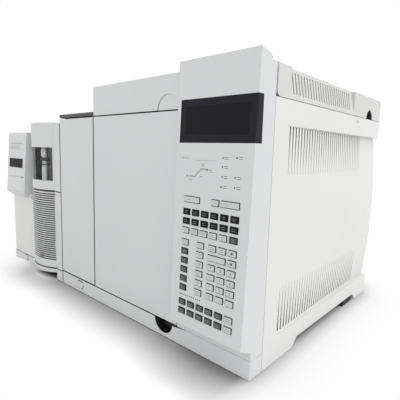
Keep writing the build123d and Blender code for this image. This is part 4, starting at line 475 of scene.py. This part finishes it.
def fibre(name, base, weave=0.0):
    """Matt fibre: a felted mass, or a braid where a weave pitch is given."""
    finish = Finish(name)
    x, _, z = finish.axes()
    felt = finish.noise(420.0, 5.0, 0.7)
    height = felt
    if weave:
        strands = ((x + z) * (2 * math.pi / weave)).wave() * ((x - z) * (2 * math.pi / weave)).wave()
        height = strands * 0.35 + felt * 0.4 + 0.35
    patch = finish.noise(14.0, 3.0)
    colour = finish.mottled(height, base, 0.72, 1.10)
    colour = finish.blend(patch * 0.25, colour, shade(base, 0.75))
    return finish.surface(colour, felt * 0.1 + 0.85, height, 0.0004, Specular_IOR_Level=0.2)


def circuit_board(name, base):
    """Solder mask with copper tracks under it: lighter lines where the sine of the distance to the nearest
    cell's point, measured along the axes, passes a threshold."""
    finish = Finish(name)
    cells = finish.node("TexVoronoi", {"Vector": finish.place, "Scale": 160.0}, distance="MANHATTAN")
    tracks = (cells * 22.0).wave() > 0.55
    colour = finish.blend(tracks, base, (0.060, 0.240, 0.110))
    return finish.surface(colour, finish.noise(90.0) * 0.15 + 0.25, tracks, 0.00004, 0.0003)


def dress(material, *names):
    """Gives CAD nodes a finish."""
    for name in names:
        node = NODES[name]
        if not node.material_slots:
            node.data.materials.append(material)
        for slot in node.material_slots:
            slot.material = material


# ---- operators: finishes ----
class CHROMATOGRAPH_OT_casing(bpy.types.Operator):
    """Paints the covers, panels, fronts and deck"""
    bl_idname = "chromatograph.casing"
    bl_label = "Casing finishes"

    def execute(self, context):
        c = colours()
        dress(powder_coat("side_paint", c.casing, self.louvre_shade), "right_side_panel")
        dress(powder_coat("casing_paint", c.casing), "left_side_panel", "rear_panel",
              "pneumatics_cover", "detector_housing")
        # painted shade: the electronics cover takes a darker copy of the casing paint
        dress(powder_coat("cover_paint_shaded", shade(c.casing, 0.87)), "electronics_cover")
        dress(powder_coat("door_paint", c.front), "door_panel")
        dress(powder_coat("lid_paint", c.front, self.lid_shade), "injector_cover")
        dress(powder_coat("panel_paint", c.front, self.panel_shade), "left_front_panel")
        dress(moulding("front_plastic", c.front), "front_fascia", "power_button", "detector_power_button")
        dress(moulding("strip_plastic", c.front, self.strip_shade), "base_strip")
        dress(moulding("tower_plastic", c.front, self.tower_shade), "control_tower", "tower_flap")
        dress(moulding("window_plastic", c.front, self.window_wall_shade), "window_cover")
        dress(moulding("bezel_plastic", c.front, self.bezel_shade), "front_bezel")
        dress(moulding("column_plastic", c.front, self.column_shade), "detector_column")
        dress(moulding("grille_plastic", c.front, self.blade_shade), "detector_grille")
        dress(powder_coat("deck_paint", c.deck, rough=0.5), "top_deck")
        dress(black_part("foot_rubber", c.rubber, 0.8), "feet")
        return {"FINISHED"}

    def panel_shade(self, finish):
        """Painted shade on the left front panel: its faces that turn into the seams behind it, and thin bands
        of its front along the seam at its right and below it.
        """
        low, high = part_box("left_front_panel")
        gaps = finish.within(y=(FRONT + SEAM, FAR)).most(finish.within(x=(high.x - 0.0011, FAR)))
        return gaps.most(finish.within(z=(-FAR, low.z + 0.0008)))

    def column_shade(self, finish):
        """Painted shade on the detector's column: a thin band at its right side, and the face that it turns
        to the front in the seam.
        """
        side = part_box("detector_column")[1].x
        turned_in = finish.within(y=(FRONT + SEAM, FRONT + SEAM + 0.001)) * (finish.facing("Y") > 0.7)
        return finish.within(x=(side - 0.0014, FAR)).most(turned_in)

    def lid_shade(self, finish):
        """Painted shade in the seam under the lid, and in the thin ring of its half-round thumb mark,
        stronger at the left.
        """
        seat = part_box("injector_cover")[0].z
        x, y, z = finish.axes()
        across, up = x - (RIGHT - 0.192), z - seat
        inner, outer, away = 0.0262, 0.0276, across.hypot(up)
        ring = (away > inner) * (away < outer) * (y < FRONT + 0.004)
        thumb = ring * ((0.006 - across) / 0.030).clamped() * 0.42
        return finish.within(z=(-FAR, seat + 0.0006)).most(thumb)

    def bezel_shade(self, finish):
        """Painted shade on the strip: a line in the seam under the door, the inside of the finger recess, a
        wedge under the fascia and the outline round the button.
        """
        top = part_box("front_bezel")[1].z
        middle = sum(corner.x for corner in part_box("latch_paddle")) / 2
        x, y, z = finish.axes()
        across, down, radius = x - middle, z - top, 0.0275
        recess = (y > FRONT + SEAM) * (across.hypot(down) < radius)
        # painted shadow: a thin wedge running out from the recess under the fascia
        run, drop = 0.058, 0.0068
        reach = across / run
        wedge_shadow = (across > 0.0) * (down > (reach - 1.0) * drop) * (reach < 1.0)
        line = (z > top - 0.0005) * (reach < 1.0)
        return line.most(recess).most(wedge_shadow).most(self.button_shadow(finish, "power_button"))

    def button_shadow(self, finish, name):
        """Painted shadow round a button: a rounded outline, told by the distance to its corner circles, that
        is a little larger than the button and set up and to the left."""
        corner, grow, shift = 0.004, 0.0019, 0.0005
        wide, tall = (past.most(0.0) for past in finish.outside(name, corner, shift))
        return wide.hypot(tall) < corner + grow

    def louvre_shade(self, finish):
        """Painted shade on the walls of the louvres, darkest at the front and at their wide ends next to the
        edge of the dish; and painted shade on the slopes of the dish, a little greyer to the back."""
        low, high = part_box("right_side_panel")
        top, bottom = high.z - 0.039, low.z + 0.045
        row, fade, slope_above, slope_below = 0.085, 0.080, 0.040, 0.060
        x, y, z = finish.axes()
        back = ((y - low.y) / (high.y - low.y)).clamped()
        walls = (finish.facing("Y") > 0.8) * (x < RIGHT - 0.0004) * (y > low.y + 0.04) * (y < high.y - 0.02)
        wide_end = ((z - top + row) / fade).clamped().most(((bottom + row - z) / fade).clamped())
        above = ((z - top + slope_above) / slope_above).clamped() * (z < top)
        below = ((bottom + slope_below - z) / slope_below).clamped() * (z > bottom)
        return (walls * wide_end * (0.9 - back * 0.6)).most(above.most(below) * back * back * 0.10)

    def blade_shade(self, finish):
        """Painted shade on the tops and undersides of the grille's blades, dark at the right and paler to the
        left and down.
        """
        low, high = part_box("detector_grille")
        x, _, z = finish.axes()
        right, up = (x - low.x) / (high.x - low.x), (z - low.z) / (high.z - low.z)
        return (finish.facing("Z") > 0.7) * (right * 1.1 + up * 0.35 - 0.15).clamped()

    def window_wall_shade(self, finish):
        """Painted shade on the inner side wall of the window's cover, with a line of painted shade nearer the
        pane.
        """
        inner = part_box("window_cover")[0].x + 0.0035
        inner_wall_shade = finish.within(x=(-FAR, inner), y=(FRONT + 0.0085, FAR))
        line = finish.within(x=(-FAR, inner), y=(FRONT + 0.0005, FRONT + 0.0030))
        return inner_wall_shade.most(line) * (finish.facing("X") > 0.7)

    def strip_shade(self, finish):
        """Painted shade along the top edge of the detector's lower strip, and the painted shadow round its
        button.
        """
        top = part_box("base_strip")[1].z
        return finish.within(z=(top - 0.0007, FAR)).most(self.button_shadow(finish, "detector_power_button"))

    def tower_shade(self, finish):
        """Painted shade in the seam along the top of the tower's flap, and a darker painted-shade spot at the
        small latch at its right end.
        """
        low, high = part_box("tower_flap")
        seam = finish.within(x=(low.x, high.x), z=(high.z - 0.0004, high.z + 0.0012))
        latch = finish.within(x=(high.x - 0.018, high.x - 0.004), z=(high.z - 0.0022, high.z + 0.0020))
        return (seam * 0.30).most(latch * 0.55)


class CHROMATOGRAPH_OT_controls(bpy.types.Operator):
    """Finishes the keys, the display lenses and the latch"""
    bl_idname = "chromatograph.controls"
    bl_label = "Keys and displays"

    def execute(self, context):
        c = colours()
        dress(key_cap("dark_caps", c.key_dark, gloss=0.12), "dark_keys")
        dress(key_cap("grey_caps", c.key_grey, c.key_dark, 0.18), "grey_keys")
        dress(key_cap("light_caps", c.key_light, c.key_side_shade), "light_keys", "start_key", "stop_key",
              "prep_key")
        dress(lens("display_lens", c.lens, 0.012, 0.10), "display_lens")
        dress(lens("tower_display", c.lens, 0.004, 0.03), "tower_display")
        dress(black_part("black_moulding", c.black), "button_switches", "vent_motor", "power_inlet")
        # painted shade: the latch down in the finger recess takes a darker copy of the black plastic
        dress(black_part("latch_black_shaded", shade(c.black, 0.25), 0.7), "latch_paddle")
        return {"FINISHED"}


class CHROMATOGRAPH_OT_metal(bpy.types.Operator):
    """Finishes the steel, aluminium and brass pieces"""
    bl_idname = "chromatograph.metal"
    bl_label = "Metal finishes"

    def execute(self, context):
        c = colours()
        dress(brushed("sheet_steel", c.steel), "base_pan", "bulkhead", "hinge_pins", "exhaust_duct",
              "vent_flap", "detector_base", "fan_shaft", "power_supply")
        dress(brushed("oven_steel", c.oven, (1.0, 1.0, 0.04), 0.38, 0.35), "oven_liner", "fan_shroud",
              "oven_fan", "column_cage", "door_inner")
        dress(brushed("machined_aluminium", c.aluminium, (1.0, 1.0, 0.10), 0.30), "inlets",
              "vacuum_pump", "transfer_line", "fan_motor")
        dress(self.analyser(c.aluminium), "vacuum_manifold")
        dress(brushed("fitting_brass", c.brass, (1.0, 0.2, 1.0), 0.25), "gas_fittings")
        return {"FINISHED"}

    def analyser(self, base):
        """Bright turned barrel on a dark anodised block: bright up to a radius, in front of the axis only."""
        finish = Finish("analyser_metal")
        low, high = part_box("vacuum_manifold")
        x, y, _ = finish.axes()
        axis, radius = low.y + (high.x - low.x) / 2 - 0.019, 0.0308
        across, back = x - (low.x + high.x) / 2, y - axis
        turning = finish.noise(700.0, 2.0, 0.5, (0.1, 0.1, 1.0))
        colour = finish.mottled(turning, base, 0.85, 1.15)
        dark = (across.hypot(back) > radius).most(back > 0.0)
        colour = finish.blend(dark, colour, (0.030, 0.031, 0.033))
        return finish.surface(colour, turning * 0.15 + 0.28, turning, 0.00002, 0.0004, metal=1.0 - dark)


class CHROMATOGRAPH_OT_inside(bpy.types.Operator):
    """Finishes the lagging, seal, boards and window"""
    bl_idname = "chromatograph.inside"
    bl_label = "Lagging, boards and window"

    def execute(self, context):
        c = colours()
        dress(fibre("fibre_lagging", c.lagging), "oven_insulation")
        dress(fibre("braided_seal", c.seal, 0.003), "door_seal")
        dress(circuit_board("solder_mask", c.board), "main_board", "keypad_board")
        finish = Finish("clear_window")
        haze = finish.noise(30.0, 3.0)
        finish.surface(finish.blend(haze, (0.30, 0.31, 0.32), (0.24, 0.25, 0.26)), haze * 0.05 + 0.02,
                       edge=0.0004, Alpha=haze * 0.03 + 0.04)
        dress(finish.material, "viewing_window")
        return {"FINISHED"}


# ---- operators: pieces ----
class CHROMATOGRAPH_OT_analyser(bpy.types.Operator):
    """Stands the analyser's ringed barrel behind the window"""
    bl_idname = "chromatograph.analyser"
    bl_label = "Analyser barrel"

    def execute(self, context):
        c = colours()
        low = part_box("vacuum_manifold")[0]
        pane_low, pane_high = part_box("viewing_window")
        foot = np.array([low.x + 0.0325, low.y - 0.0275, 0.0])
        bottom, top, mid = pane_low.z - 0.014, pane_high.z + 0.008, (pane_low.z + pane_high.z) / 2
        # barrel that steps in and out with height: foot, waist, body, cap
        profile = [(0.0125, bottom), (0.0125, bottom + 0.006), (0.0100, bottom + 0.007),
                   (0.0100, mid - 0.012), (0.0088, mid - 0.010), (0.0088, mid + 0.017),
                   (0.0108, mid + 0.019), (0.0112, mid + 0.030), (0.0104, mid + 0.036), (0.0104, top)]
        finish = Finish("turned_barrel")
        turning = finish.noise(800.0, 2.0, 0.5, (0.1, 0.1, 1.0))
        bright = finish.surface(finish.mottled(turning, c.aluminium, 0.9, 1.2),
                                turning * 0.1 + 0.3, turning, 0.00002, 0.0004, metal=turning * 0.1 + 0.2)
        piece("analyser_barrel", [turned(profile, foot, Z_AXIS, X_AXIS, Y_AXIS, 40)], "chassis", bright)
        bore, parts = 0.0040, []
        for z, tall, rim in ((mid + 0.006, 0.0075, 0.0128), (mid - 0.004, 0.0025, 0.0118)):
            band = [(bore, z), (rim, z), (rim, z + tall), (bore, z + tall)]
            parts.append(turned(band, foot, Z_AXIS, X_AXIS, Y_AXIS, 40))
        # a shelf at either end and three posts carry it from the manifold behind
        left, right, front, back = foot[0] - 0.020, foot[0] + 0.030, foot[1] - 0.012, low.y + 0.001
        for under in (bottom - 0.003, top):
            parts.append(slab([(x, y, z) for z in (under, under + 0.003)
                               for x, y in ((left, front), (right, front), (right, back), (left, back))]))
        for dx, dy in ((-0.016, 0.004), (0.024, -0.006), (0.026, 0.010)):
            x, y = foot[0] + dx, foot[1] + dy
            parts.append(straight_tube((x, y, bottom), (x, y, top), 0.002, 12))
        piece("analyser_rings", parts, "chassis", black_part("anodised_black", c.black, 0.4))
        return {"FINISHED"}


class CHROMATOGRAPH_OT_column(bpy.types.Operator):
    """Winds the capillary column in layers on its cage"""
    bl_idname = "chromatograph.column"
    bl_label = "Wound column"

    def execute(self, context):
        s, c = sizes(), colours()
        low, high = (np.array(v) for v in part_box("column_coil"))
        centre, outer = (low + high) / 2, (high[0] - low[0]) / 2
        t = np.linspace(0.0, 2 * np.pi * s.capillary_turns, 64 * s.capillary_turns)
        # radius creeps outwards through the layers while the wire travels to and fro across the cage
        radius = outer - 0.0075 + 0.0065 * t / t[-1]
        travel = np.arccos(np.cos(t / 12.0)) / np.pi - 0.5
        reach = (high[1] - low[1]) - 4 * s.capillary
        outward = np.stack([np.cos(t), 0 * t, np.sin(t)], axis=-1)
        path = centre + radius[:, None] * outward
        path[:, 1] += travel * reach
        across = np.tile(Y_AXIS, (len(t), 1))
        finish = Finish("coated_capillary")
        glow = finish.noise(240.0, 2.0)
        material = finish.surface(finish.mottled(glow, c.capillary, 0.8, 1.5),
                                  glow * 0.1 + 0.18, Coat_Weight=0.4)
        coil = piece("column_winding", [tube_along(path, outward, across, s.capillary)], "chassis",
                     material)
        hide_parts("column_coil")
        return {"FINISHED"}


class CHROMATOGRAPH_OT_heater(bpy.types.Operator):
    """Winds the heater's wire round its ring, with its three stays"""
    bl_idname = "chromatograph.heater"
    bl_label = "Wound heater"

    def execute(self, context):
        s = sizes()
        low, high = (np.array(v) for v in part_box("heater_coil"))
        thick = 0.003  # from the ring's middle line to its outside
        ring, small = (high[0] - low[0]) / 2 - thick, thick - s.heater_wire
        centre = np.array([(low[0] + high[0]) / 2, low[1] + thick, (low[2] + high[2]) / 2])
        t = np.linspace(0.0, 2 * np.pi, 12 * s.heater_turns, endpoint=False)
        spin = s.heater_turns * t
        # a small circle that travels once round the large ring while it turns many times
        out = np.stack([np.cos(t), 0 * t, np.sin(t)], axis=-1)
        side = np.tile(Y_AXIS, (len(t), 1))
        normal = np.cos(spin)[:, None] * out + np.sin(spin)[:, None] * side
        path = centre + ring * out + small * normal
        ahead = np.roll(path, -1, axis=0) - np.roll(path, 1, axis=0)
        ahead /= np.linalg.norm(ahead, axis=1)[:, None]
        parts = [tube_along(path, normal, np.cross(ahead, normal), s.heater_wire, 5, True)]
        for k in range(3):
            angle = 2 * math.pi * k / 3 + math.pi / 2
            foot = centre + ring * np.array([math.cos(angle), 0.0, math.sin(angle)])
            parts.append(straight_tube(foot, (foot[0], high[1], foot[2]), 0.002))
        coil = piece("heater_winding", parts, "chassis", NODES["oven_liner"].active_material)
        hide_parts("heater_coil")
        return {"FINISHED"}


class CHROMATOGRAPH_OT_screws(bpy.types.Operator):
    """Makes domed screw heads with a cross recess"""
    bl_idname = "chromatograph.screws"
    bl_label = "Screw heads"

    def execute(self, context):
        s = sizes()
        panel_low, panel_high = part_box("rear_panel")
        inset, parting = 0.012, RIGHT - 0.158
        low, high = 0.060, panel_high.z - 0.036
        spots = [((x, panel_high.y, z), Y_AXIS, X_AXIS, 0.0035, 0.0017)
                 for x in (panel_low.x + inset, parting - inset, parting + inset, RIGHT - inset)
                 for z in (low, (low + high) / 2, high)]
        spots.append(((RIGHT - 0.0012, FRONT + 0.372, 0.420), X_AXIS, Y_AXIS, 0.0032, 0.0009))
        ring = np.linspace(1.0, 0.04, 14)
        a = np.linspace(0.0, 2 * np.pi, 40, endpoint=False)
        r, angle = np.meshgrid(ring, a, indexing="ij")
        # dome that falls with the square of the radius, less a cross: deep where either arm's width covers it
        arm = np.minimum(np.abs(np.cos(angle)), np.abs(np.sin(angle))) * r
        cross = (np.clip((0.17 - arm) / 0.05, 0, 1) * np.clip((0.66 - r) / 0.06, 0, 1))
        parts = []
        for spot, axis, across, radius, height in spots:
            up = np.cross(axis, across)
            rise = height * (1.0 - 0.75 * r ** 4) - np.minimum(s.screw_recess, 0.8 * height) * cross
            top = (np.array(spot) + radius * r[..., None] * (np.cos(angle)[..., None] * across
                   + np.sin(angle)[..., None] * up) + rise[..., None] * axis)
            foot = np.array(spot) + radius * (np.cos(a)[:, None] * across + np.sin(a)[:, None] * up)
            points = np.concatenate([foot[None], top])
            parts.append((points, ring_faces(len(points), len(a))))
        heads = piece("screw_heads", parts, "chassis", NODES["base_pan"].active_material)
        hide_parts("panel_screws")
        return {"FINISHED"}


def ink(name, value):
    """Printing ink, a little broken at fine scale."""
    finish = Finish(name)
    speck = finish.noise(1100.0, 2.0)
    return finish.surface(finish.mottled(speck, value, 0.85, 1.25), speck * 0.1 + 0.5)


class CHROMATOGRAPH_OT_marks(bpy.types.Operator):
    """Prints the status lines and rules on the face, and sets the status lamps"""
    bl_idname = "chromatograph.marks"
    bl_label = "Printed marks and lamps"

    def execute(self, context):
        s, c = sizes(), colours()
        width = s.line / MM
        parts = stroke([(110.3, 334.2), (67.4, 334.3)], 0.5 * width, 0.0)
        parts += stroke([(121.5, 308.6), (108.5, 308.6), (96.6, 321.1), (83.3, 321.1)], 1.6 * width, 0.0)
        # the heading over the service keys is a row of dashes
        parts += [bar(128.0 - 4.4 * k, 112.4, 3.2 - 0.7 * (k % 3), 1.9, 0.0) for k in range(11)]
        # short rows of dashes stand beside the lamps and the heading
        dashes = [(131, 337, 15), (93, 329, 6), (93, 326, 6), (78, 320, 6), (76, 317, 6),
                  (118, 303, 8), (96, 309, 6), (126, 316, 2)]
        lamps = [(54.4, 339.2), (29.0, 340.1), (54.3, 326.0), (54.1, 311.3), (30.2, 311.5),
                 (54.8, 296.4), (29.9, 297.1), (126.0, 308.6), (84.0, 320.0)]
        dashes += [(x - 6.5, z + dz, 7) for x, z in lamps[:7] for dz in (1.1, -1.5)]
        parts += [bar(x, z, wide, 0.8, 0.0) for x, z, wide in dashes]
        piece("face_marks", parts, "chassis", ink("face_ink", c.ink), False)
        piece("tower_marks", self.tower_bars(), "chassis", ink("tower_ink", c.ink_tower),
              False)
        fall = face_fall()
        axis = np.array([0.0, -1.0, fall]) / math.hypot(1.0, fall)
        up = np.cross(axis, X_AXIS)
        a = np.linspace(0.0, 0.47 * np.pi, 7)
        dome = [(s.lamp_radius, -0.0003)] + [(s.lamp_radius * math.cos(k), s.lamp_height * math.sin(k))
                                             for k in a]
        finish = Finish("lamp_lens")
        deep = finish.noise(500.0, 1.0)
        lamp = finish.surface(finish.blend(deep, c.lamp, shade(c.lamp, 1.6)), deep * 0.05 + 0.1)
        piece("status_lamps", [turned(dome, on_face(x, z), axis, X_AXIS, up) for x, z in lamps],
              "chassis", lamp)
        return {"FINISHED"}

    def tower_bars(self):
        """Three bars on the leaning face of the control tower, whose depth at a height is read off between
        the top edges of the display and of the flap."""
        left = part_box("control_tower")[0].x
        flap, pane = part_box("tower_flap"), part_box("tower_display")
        lean = (pane[0].y - flap[0].y) / (pane[1].z - flap[1].z)
        tall, bars = 0.0014, []
        for start, wide, z in ((0.018, 0.086, 0.3555), (0.020, 0.062, 0.3455), (0.020, 0.062, 0.3400)):
            around = ((0, 0), (wide, 0), (wide, tall), (0, tall))
            bars.append(slab([(left + start + dx, pane[0].y + lean * (z + dz - pane[1].z) - rise, z + dz)
                              for rise in (-0.0002, 0.0004) for dx, dz in around]))
        return bars


class CHROMATOGRAPH_OT_legends(bpy.types.Operator):
    """Prints plain bars on the mode keys and numerals on the number keys"""
    bl_idname = "chromatograph.legends"
    bl_label = "Key legends"

    def execute(self, context):
        s, c = sizes(), colours()
        proud = s.key_proud * math.hypot(1.0, face_fall())
        pale, dark, faint = ink("pale_ink", c.ink_pale), ink("key_ink", c.ink), ink("faint_ink", c.ink_faint)

        def bars(spots):
            """Two bars of uneven length in the middle of each key."""
            made = []
            for k, (x, z) in enumerate(spots):
                made.append(bar(x, z + 1.5, 6.0 + 1.1 * (k * 3 % 4), 1.0, proud))
                made.append(bar(x, z - 1.3, 4.4 + 1.3 * (k * 5 % 4), 1.0, proud))
            return made

        left, last = KEY_COLUMNS[0], KEY_COLUMNS[-1]
        dark_spots = [(x, z) for z in DARK_ROWS for x in KEY_COLUMNS]
        grey_spots = [(last, THIRD_ROW)] + [(left, z) for z in NUMBER_ROWS[1:]]
        grey_spots += [(x, z) for z in SERVICE_ROWS for x in KEY_COLUMNS[:-1]]
        light_spots = [(x, THIRD_ROW) for x in KEY_COLUMNS[:-1]] + [(left, NUMBER_ROWS[0])]
        light_spots += [(x, NUMBER_ROWS[0]) for x in NUMBER_COLUMNS[:3]]
        light_spots += [(NUMBER_COLUMNS[0], z) for z in NUMBER_ROWS[1:]]
        light_spots += [(last, z) for z in SERVICE_ROWS]
        piece("dark_key_legends", bars(dark_spots), "dark_keys", pale, False)
        piece("grey_key_legends", bars(grey_spots), "grey_keys", ink("grey_key_ink", shade(c.ink_pale, 1.6)),
              False)
        piece("light_key_bars", bars(light_spots), "light_keys", faint, False)
        parts = []
        for row, numerals in zip(NUMBER_ROWS[2:], NUMERALS):
            for x, sign in zip(NUMBER_COLUMNS[1:], numerals):
                parts.append(self.numeral(sign, x, row, proud))
        # round spots on the last column of the first two number rows
        around, radius = np.linspace(0.0, 2 * np.pi, 16, endpoint=False), 2.1
        for z in NUMBER_ROWS[:2]:
            spot = [NUMBER_COLUMNS[-1] - radius * np.cos(around), z + radius * np.sin(around)]
            parts.append(ribbon(np.stack(spot, axis=-1), proud))
        piece("light_key_legends", parts, "light_keys", dark, False)
        for body, x, wide in TOP_KEYS:
            piece(body + "_legend", [bar(x, TOP_ROW, wide, 1.0, proud)], body, faint, False)
        return {"FINISHED"}

    def numeral(self, sign, x, z, proud):
        """One numeral as a thin closed plate, bent to the face by its own two coordinates."""
        text = bpy.data.curves.new("numeral", "FONT")
        text.body, text.size, text.extrude = sign, 6.2, 0.5
        text.align_x, text.align_y, text.resolution_u = "CENTER", "CENTER", 3
        holder = bpy.data.objects.new("numeral", text)
        mesh = bpy.data.meshes.new_from_object(holder)
        flat = np.zeros(len(mesh.vertices) * 3)
        mesh.vertices.foreach_get("co", flat)
        flat = flat.reshape(-1, 3)
        faces = [tuple(polygon.vertices) for polygon in mesh.polygons]
        points = on_face(x - flat[:, 0], z + flat[:, 1])
        points[:, 1] -= proud + sizes().ink * (0.35 + 1.3 * flat[:, 2])
        bpy.data.objects.remove(holder)
        bpy.data.curves.remove(text)
        bpy.data.meshes.remove(mesh)
        return points, faces


class CHROMATOGRAPH_OT_stage(bpy.types.Operator):
    """Sets the floor, the soft light and the camera"""
    bl_idname = "chromatograph.stage"
    bl_label = "Stage"

    def execute(self, context):
        scene = context.scene
        scene.view_settings.view_transform = "Standard"
        half = 30.0  # half the floor's width
        mesh = bpy.data.meshes.new("floor")
        mesh.from_pydata([(-half, -half, 0), (half, -half, 0), (half, half, 0), (-half, half, 0)], [],
                         [(0, 1, 2, 3)])
        floor = bpy.data.objects.new("floor", mesh)
        scene.collection.objects.link(floor)
        finish = Finish("floor_white")
        seen = self.seen(finish)
        # white, less the shadow where something stands close over it, which fades out past either side
        near = finish.node("AmbientOcclusion", {"Distance": 0.10}, out="AO", samples=12)
        x = finish.axes()[0]
        past_right, past_left = (x - RIGHT + 0.02) / 0.05, (-0.27 - x) / 0.13
        edge = past_right.clamped().most(past_left.clamped())
        shadow = (1.0 - (near ** 1.8).clamped()) * (1.0 - edge * 0.82)
        tone = finish.blend(shadow, (1.0, 1.0, 1.0), (0.0, 0.0, 0.0))
        shown = finish.node("Emission", {"Color": tone, "Strength": 1.0})
        matt = finish.node("BsdfDiffuse", {"Color": (0.80, 0.80, 0.80, 1.0)})
        finish.output(finish.node("MixShader", {0: seen, 1: matt, 2: shown}))
        mesh.materials.append(finish.material)
        self.sky(scene)
        self.lamp(scene)
        self.camera(scene)
        return {"FINISHED"}

    def seen(self, graph):
        """1 for what the camera sees straight, in a reflection or through glass."""
        path = graph.node("LightPath").socket.node
        rays = [Flow(graph, path.outputs[f"Is {kind} Ray"]) for kind in ("Camera", "Glossy", "Transmission")]
        return rays[0].most(rays[1]).most(rays[2])

    def sky(self, scene):
        """Soft white light from all round, in front of plain white."""
        world = bpy.data.worlds.new("studio")
        scene.world = world
        graph = Graph(world)
        soft = graph.node("Background", {"Color": (1.0, 1.0, 1.0, 1.0), "Strength": 0.90})
        white = graph.node("Background", {"Color": (1.0, 1.0, 1.0, 1.0), "Strength": 1.0})
        graph.output(graph.node("MixShader", {0: self.seen(graph), 1: soft, 2: white}), "World")

    def lamp(self, scene):
        """Distant lamp with soft edges, above and to the right of the object."""
        light = bpy.data.lights.new("key_light", "SUN")
        light.energy, light.angle = 0.85, math.radians(60.0)
        lamp = bpy.data.objects.new("key_light", light)
        lamp.rotation_euler = Vector((0.62, 0.30, 0.72)).to_track_quat("Z", "Y").to_euler()
        scene.collection.objects.link(lamp)

    def camera(self, scene):
        """Camera turned about the vertical, then down, then rolled."""
        yaw, down, roll = -0.732, math.radians(7.688), math.radians(1.6216)
        ahead = Vector((math.sin(yaw) * math.cos(down), math.cos(yaw) * math.cos(down), -math.sin(down)))
        level = Vector((math.cos(yaw), -math.sin(yaw), 0.0))
        over = level.cross(ahead)
        right = math.cos(roll) * level + math.sin(roll) * over
        up = -math.sin(roll) * level + math.cos(roll) * over
        data = bpy.data.cameras.new("camera")
        data.sensor_fit, data.sensor_width, data.lens = "HORIZONTAL", 36.0, 32.454
        data.clip_end = 200.0
        camera = bpy.data.objects.new("camera", data)
        turn = Matrix((right, up, -ahead)).transposed().to_4x4()
        camera.matrix_world = Matrix.Translation((RIGHT + 0.27866, FRONT - 0.43421, 0.34804)) @ turn
        scene.collection.objects.link(camera)
        scene.camera = camera


OPERATORS = (
    CHROMATOGRAPH_OT_casing, CHROMATOGRAPH_OT_controls, CHROMATOGRAPH_OT_metal, CHROMATOGRAPH_OT_inside,
    CHROMATOGRAPH_OT_analyser, CHROMATOGRAPH_OT_column, CHROMATOGRAPH_OT_heater, CHROMATOGRAPH_OT_screws,
    CHROMATOGRAPH_OT_marks, CHROMATOGRAPH_OT_legends, CHROMATOGRAPH_OT_stage,
)


class VIEW3D_PT_chromatograph(bpy.types.Panel):
    """Sidebar panel with the sizes, the colours and a button for each piece"""
    bl_label = "Chromatograph"
    bl_space_type = "VIEW_3D"
    bl_region_type = "UI"
    bl_category = "Chromatograph"

    def draw(self, context):
        for group in (context.scene.chromatograph_sizes, context.scene.chromatograph_colours):
            box = self.layout.box()
            for name in group.__annotations__:
                box.prop(group, name)
        for operator in OPERATORS:
            self.layout.operator(operator.bl_idname)


CLASSES = (ChromatographSizes, ChromatographColours, *OPERATORS, VIEW3D_PT_chromatograph)


def register():
    for cls in CLASSES:
        bpy.utils.register_class(cls)
    bpy.types.Scene.chromatograph_sizes = PointerProperty(type=ChromatographSizes)
    bpy.types.Scene.chromatograph_colours = PointerProperty(type=ChromatographColours)


def unregister():
    del bpy.types.Scene.chromatograph_colours
    del bpy.types.Scene.chromatograph_sizes
    for cls in reversed(CLASSES):
        bpy.utils.unregister_class(cls)


def main():
    register()
    for operator in OPERATORS:
        group, name = operator.bl_idname.split(".")
        getattr(getattr(bpy.ops, group), name)()


if __name__ == "__main__":
    main()
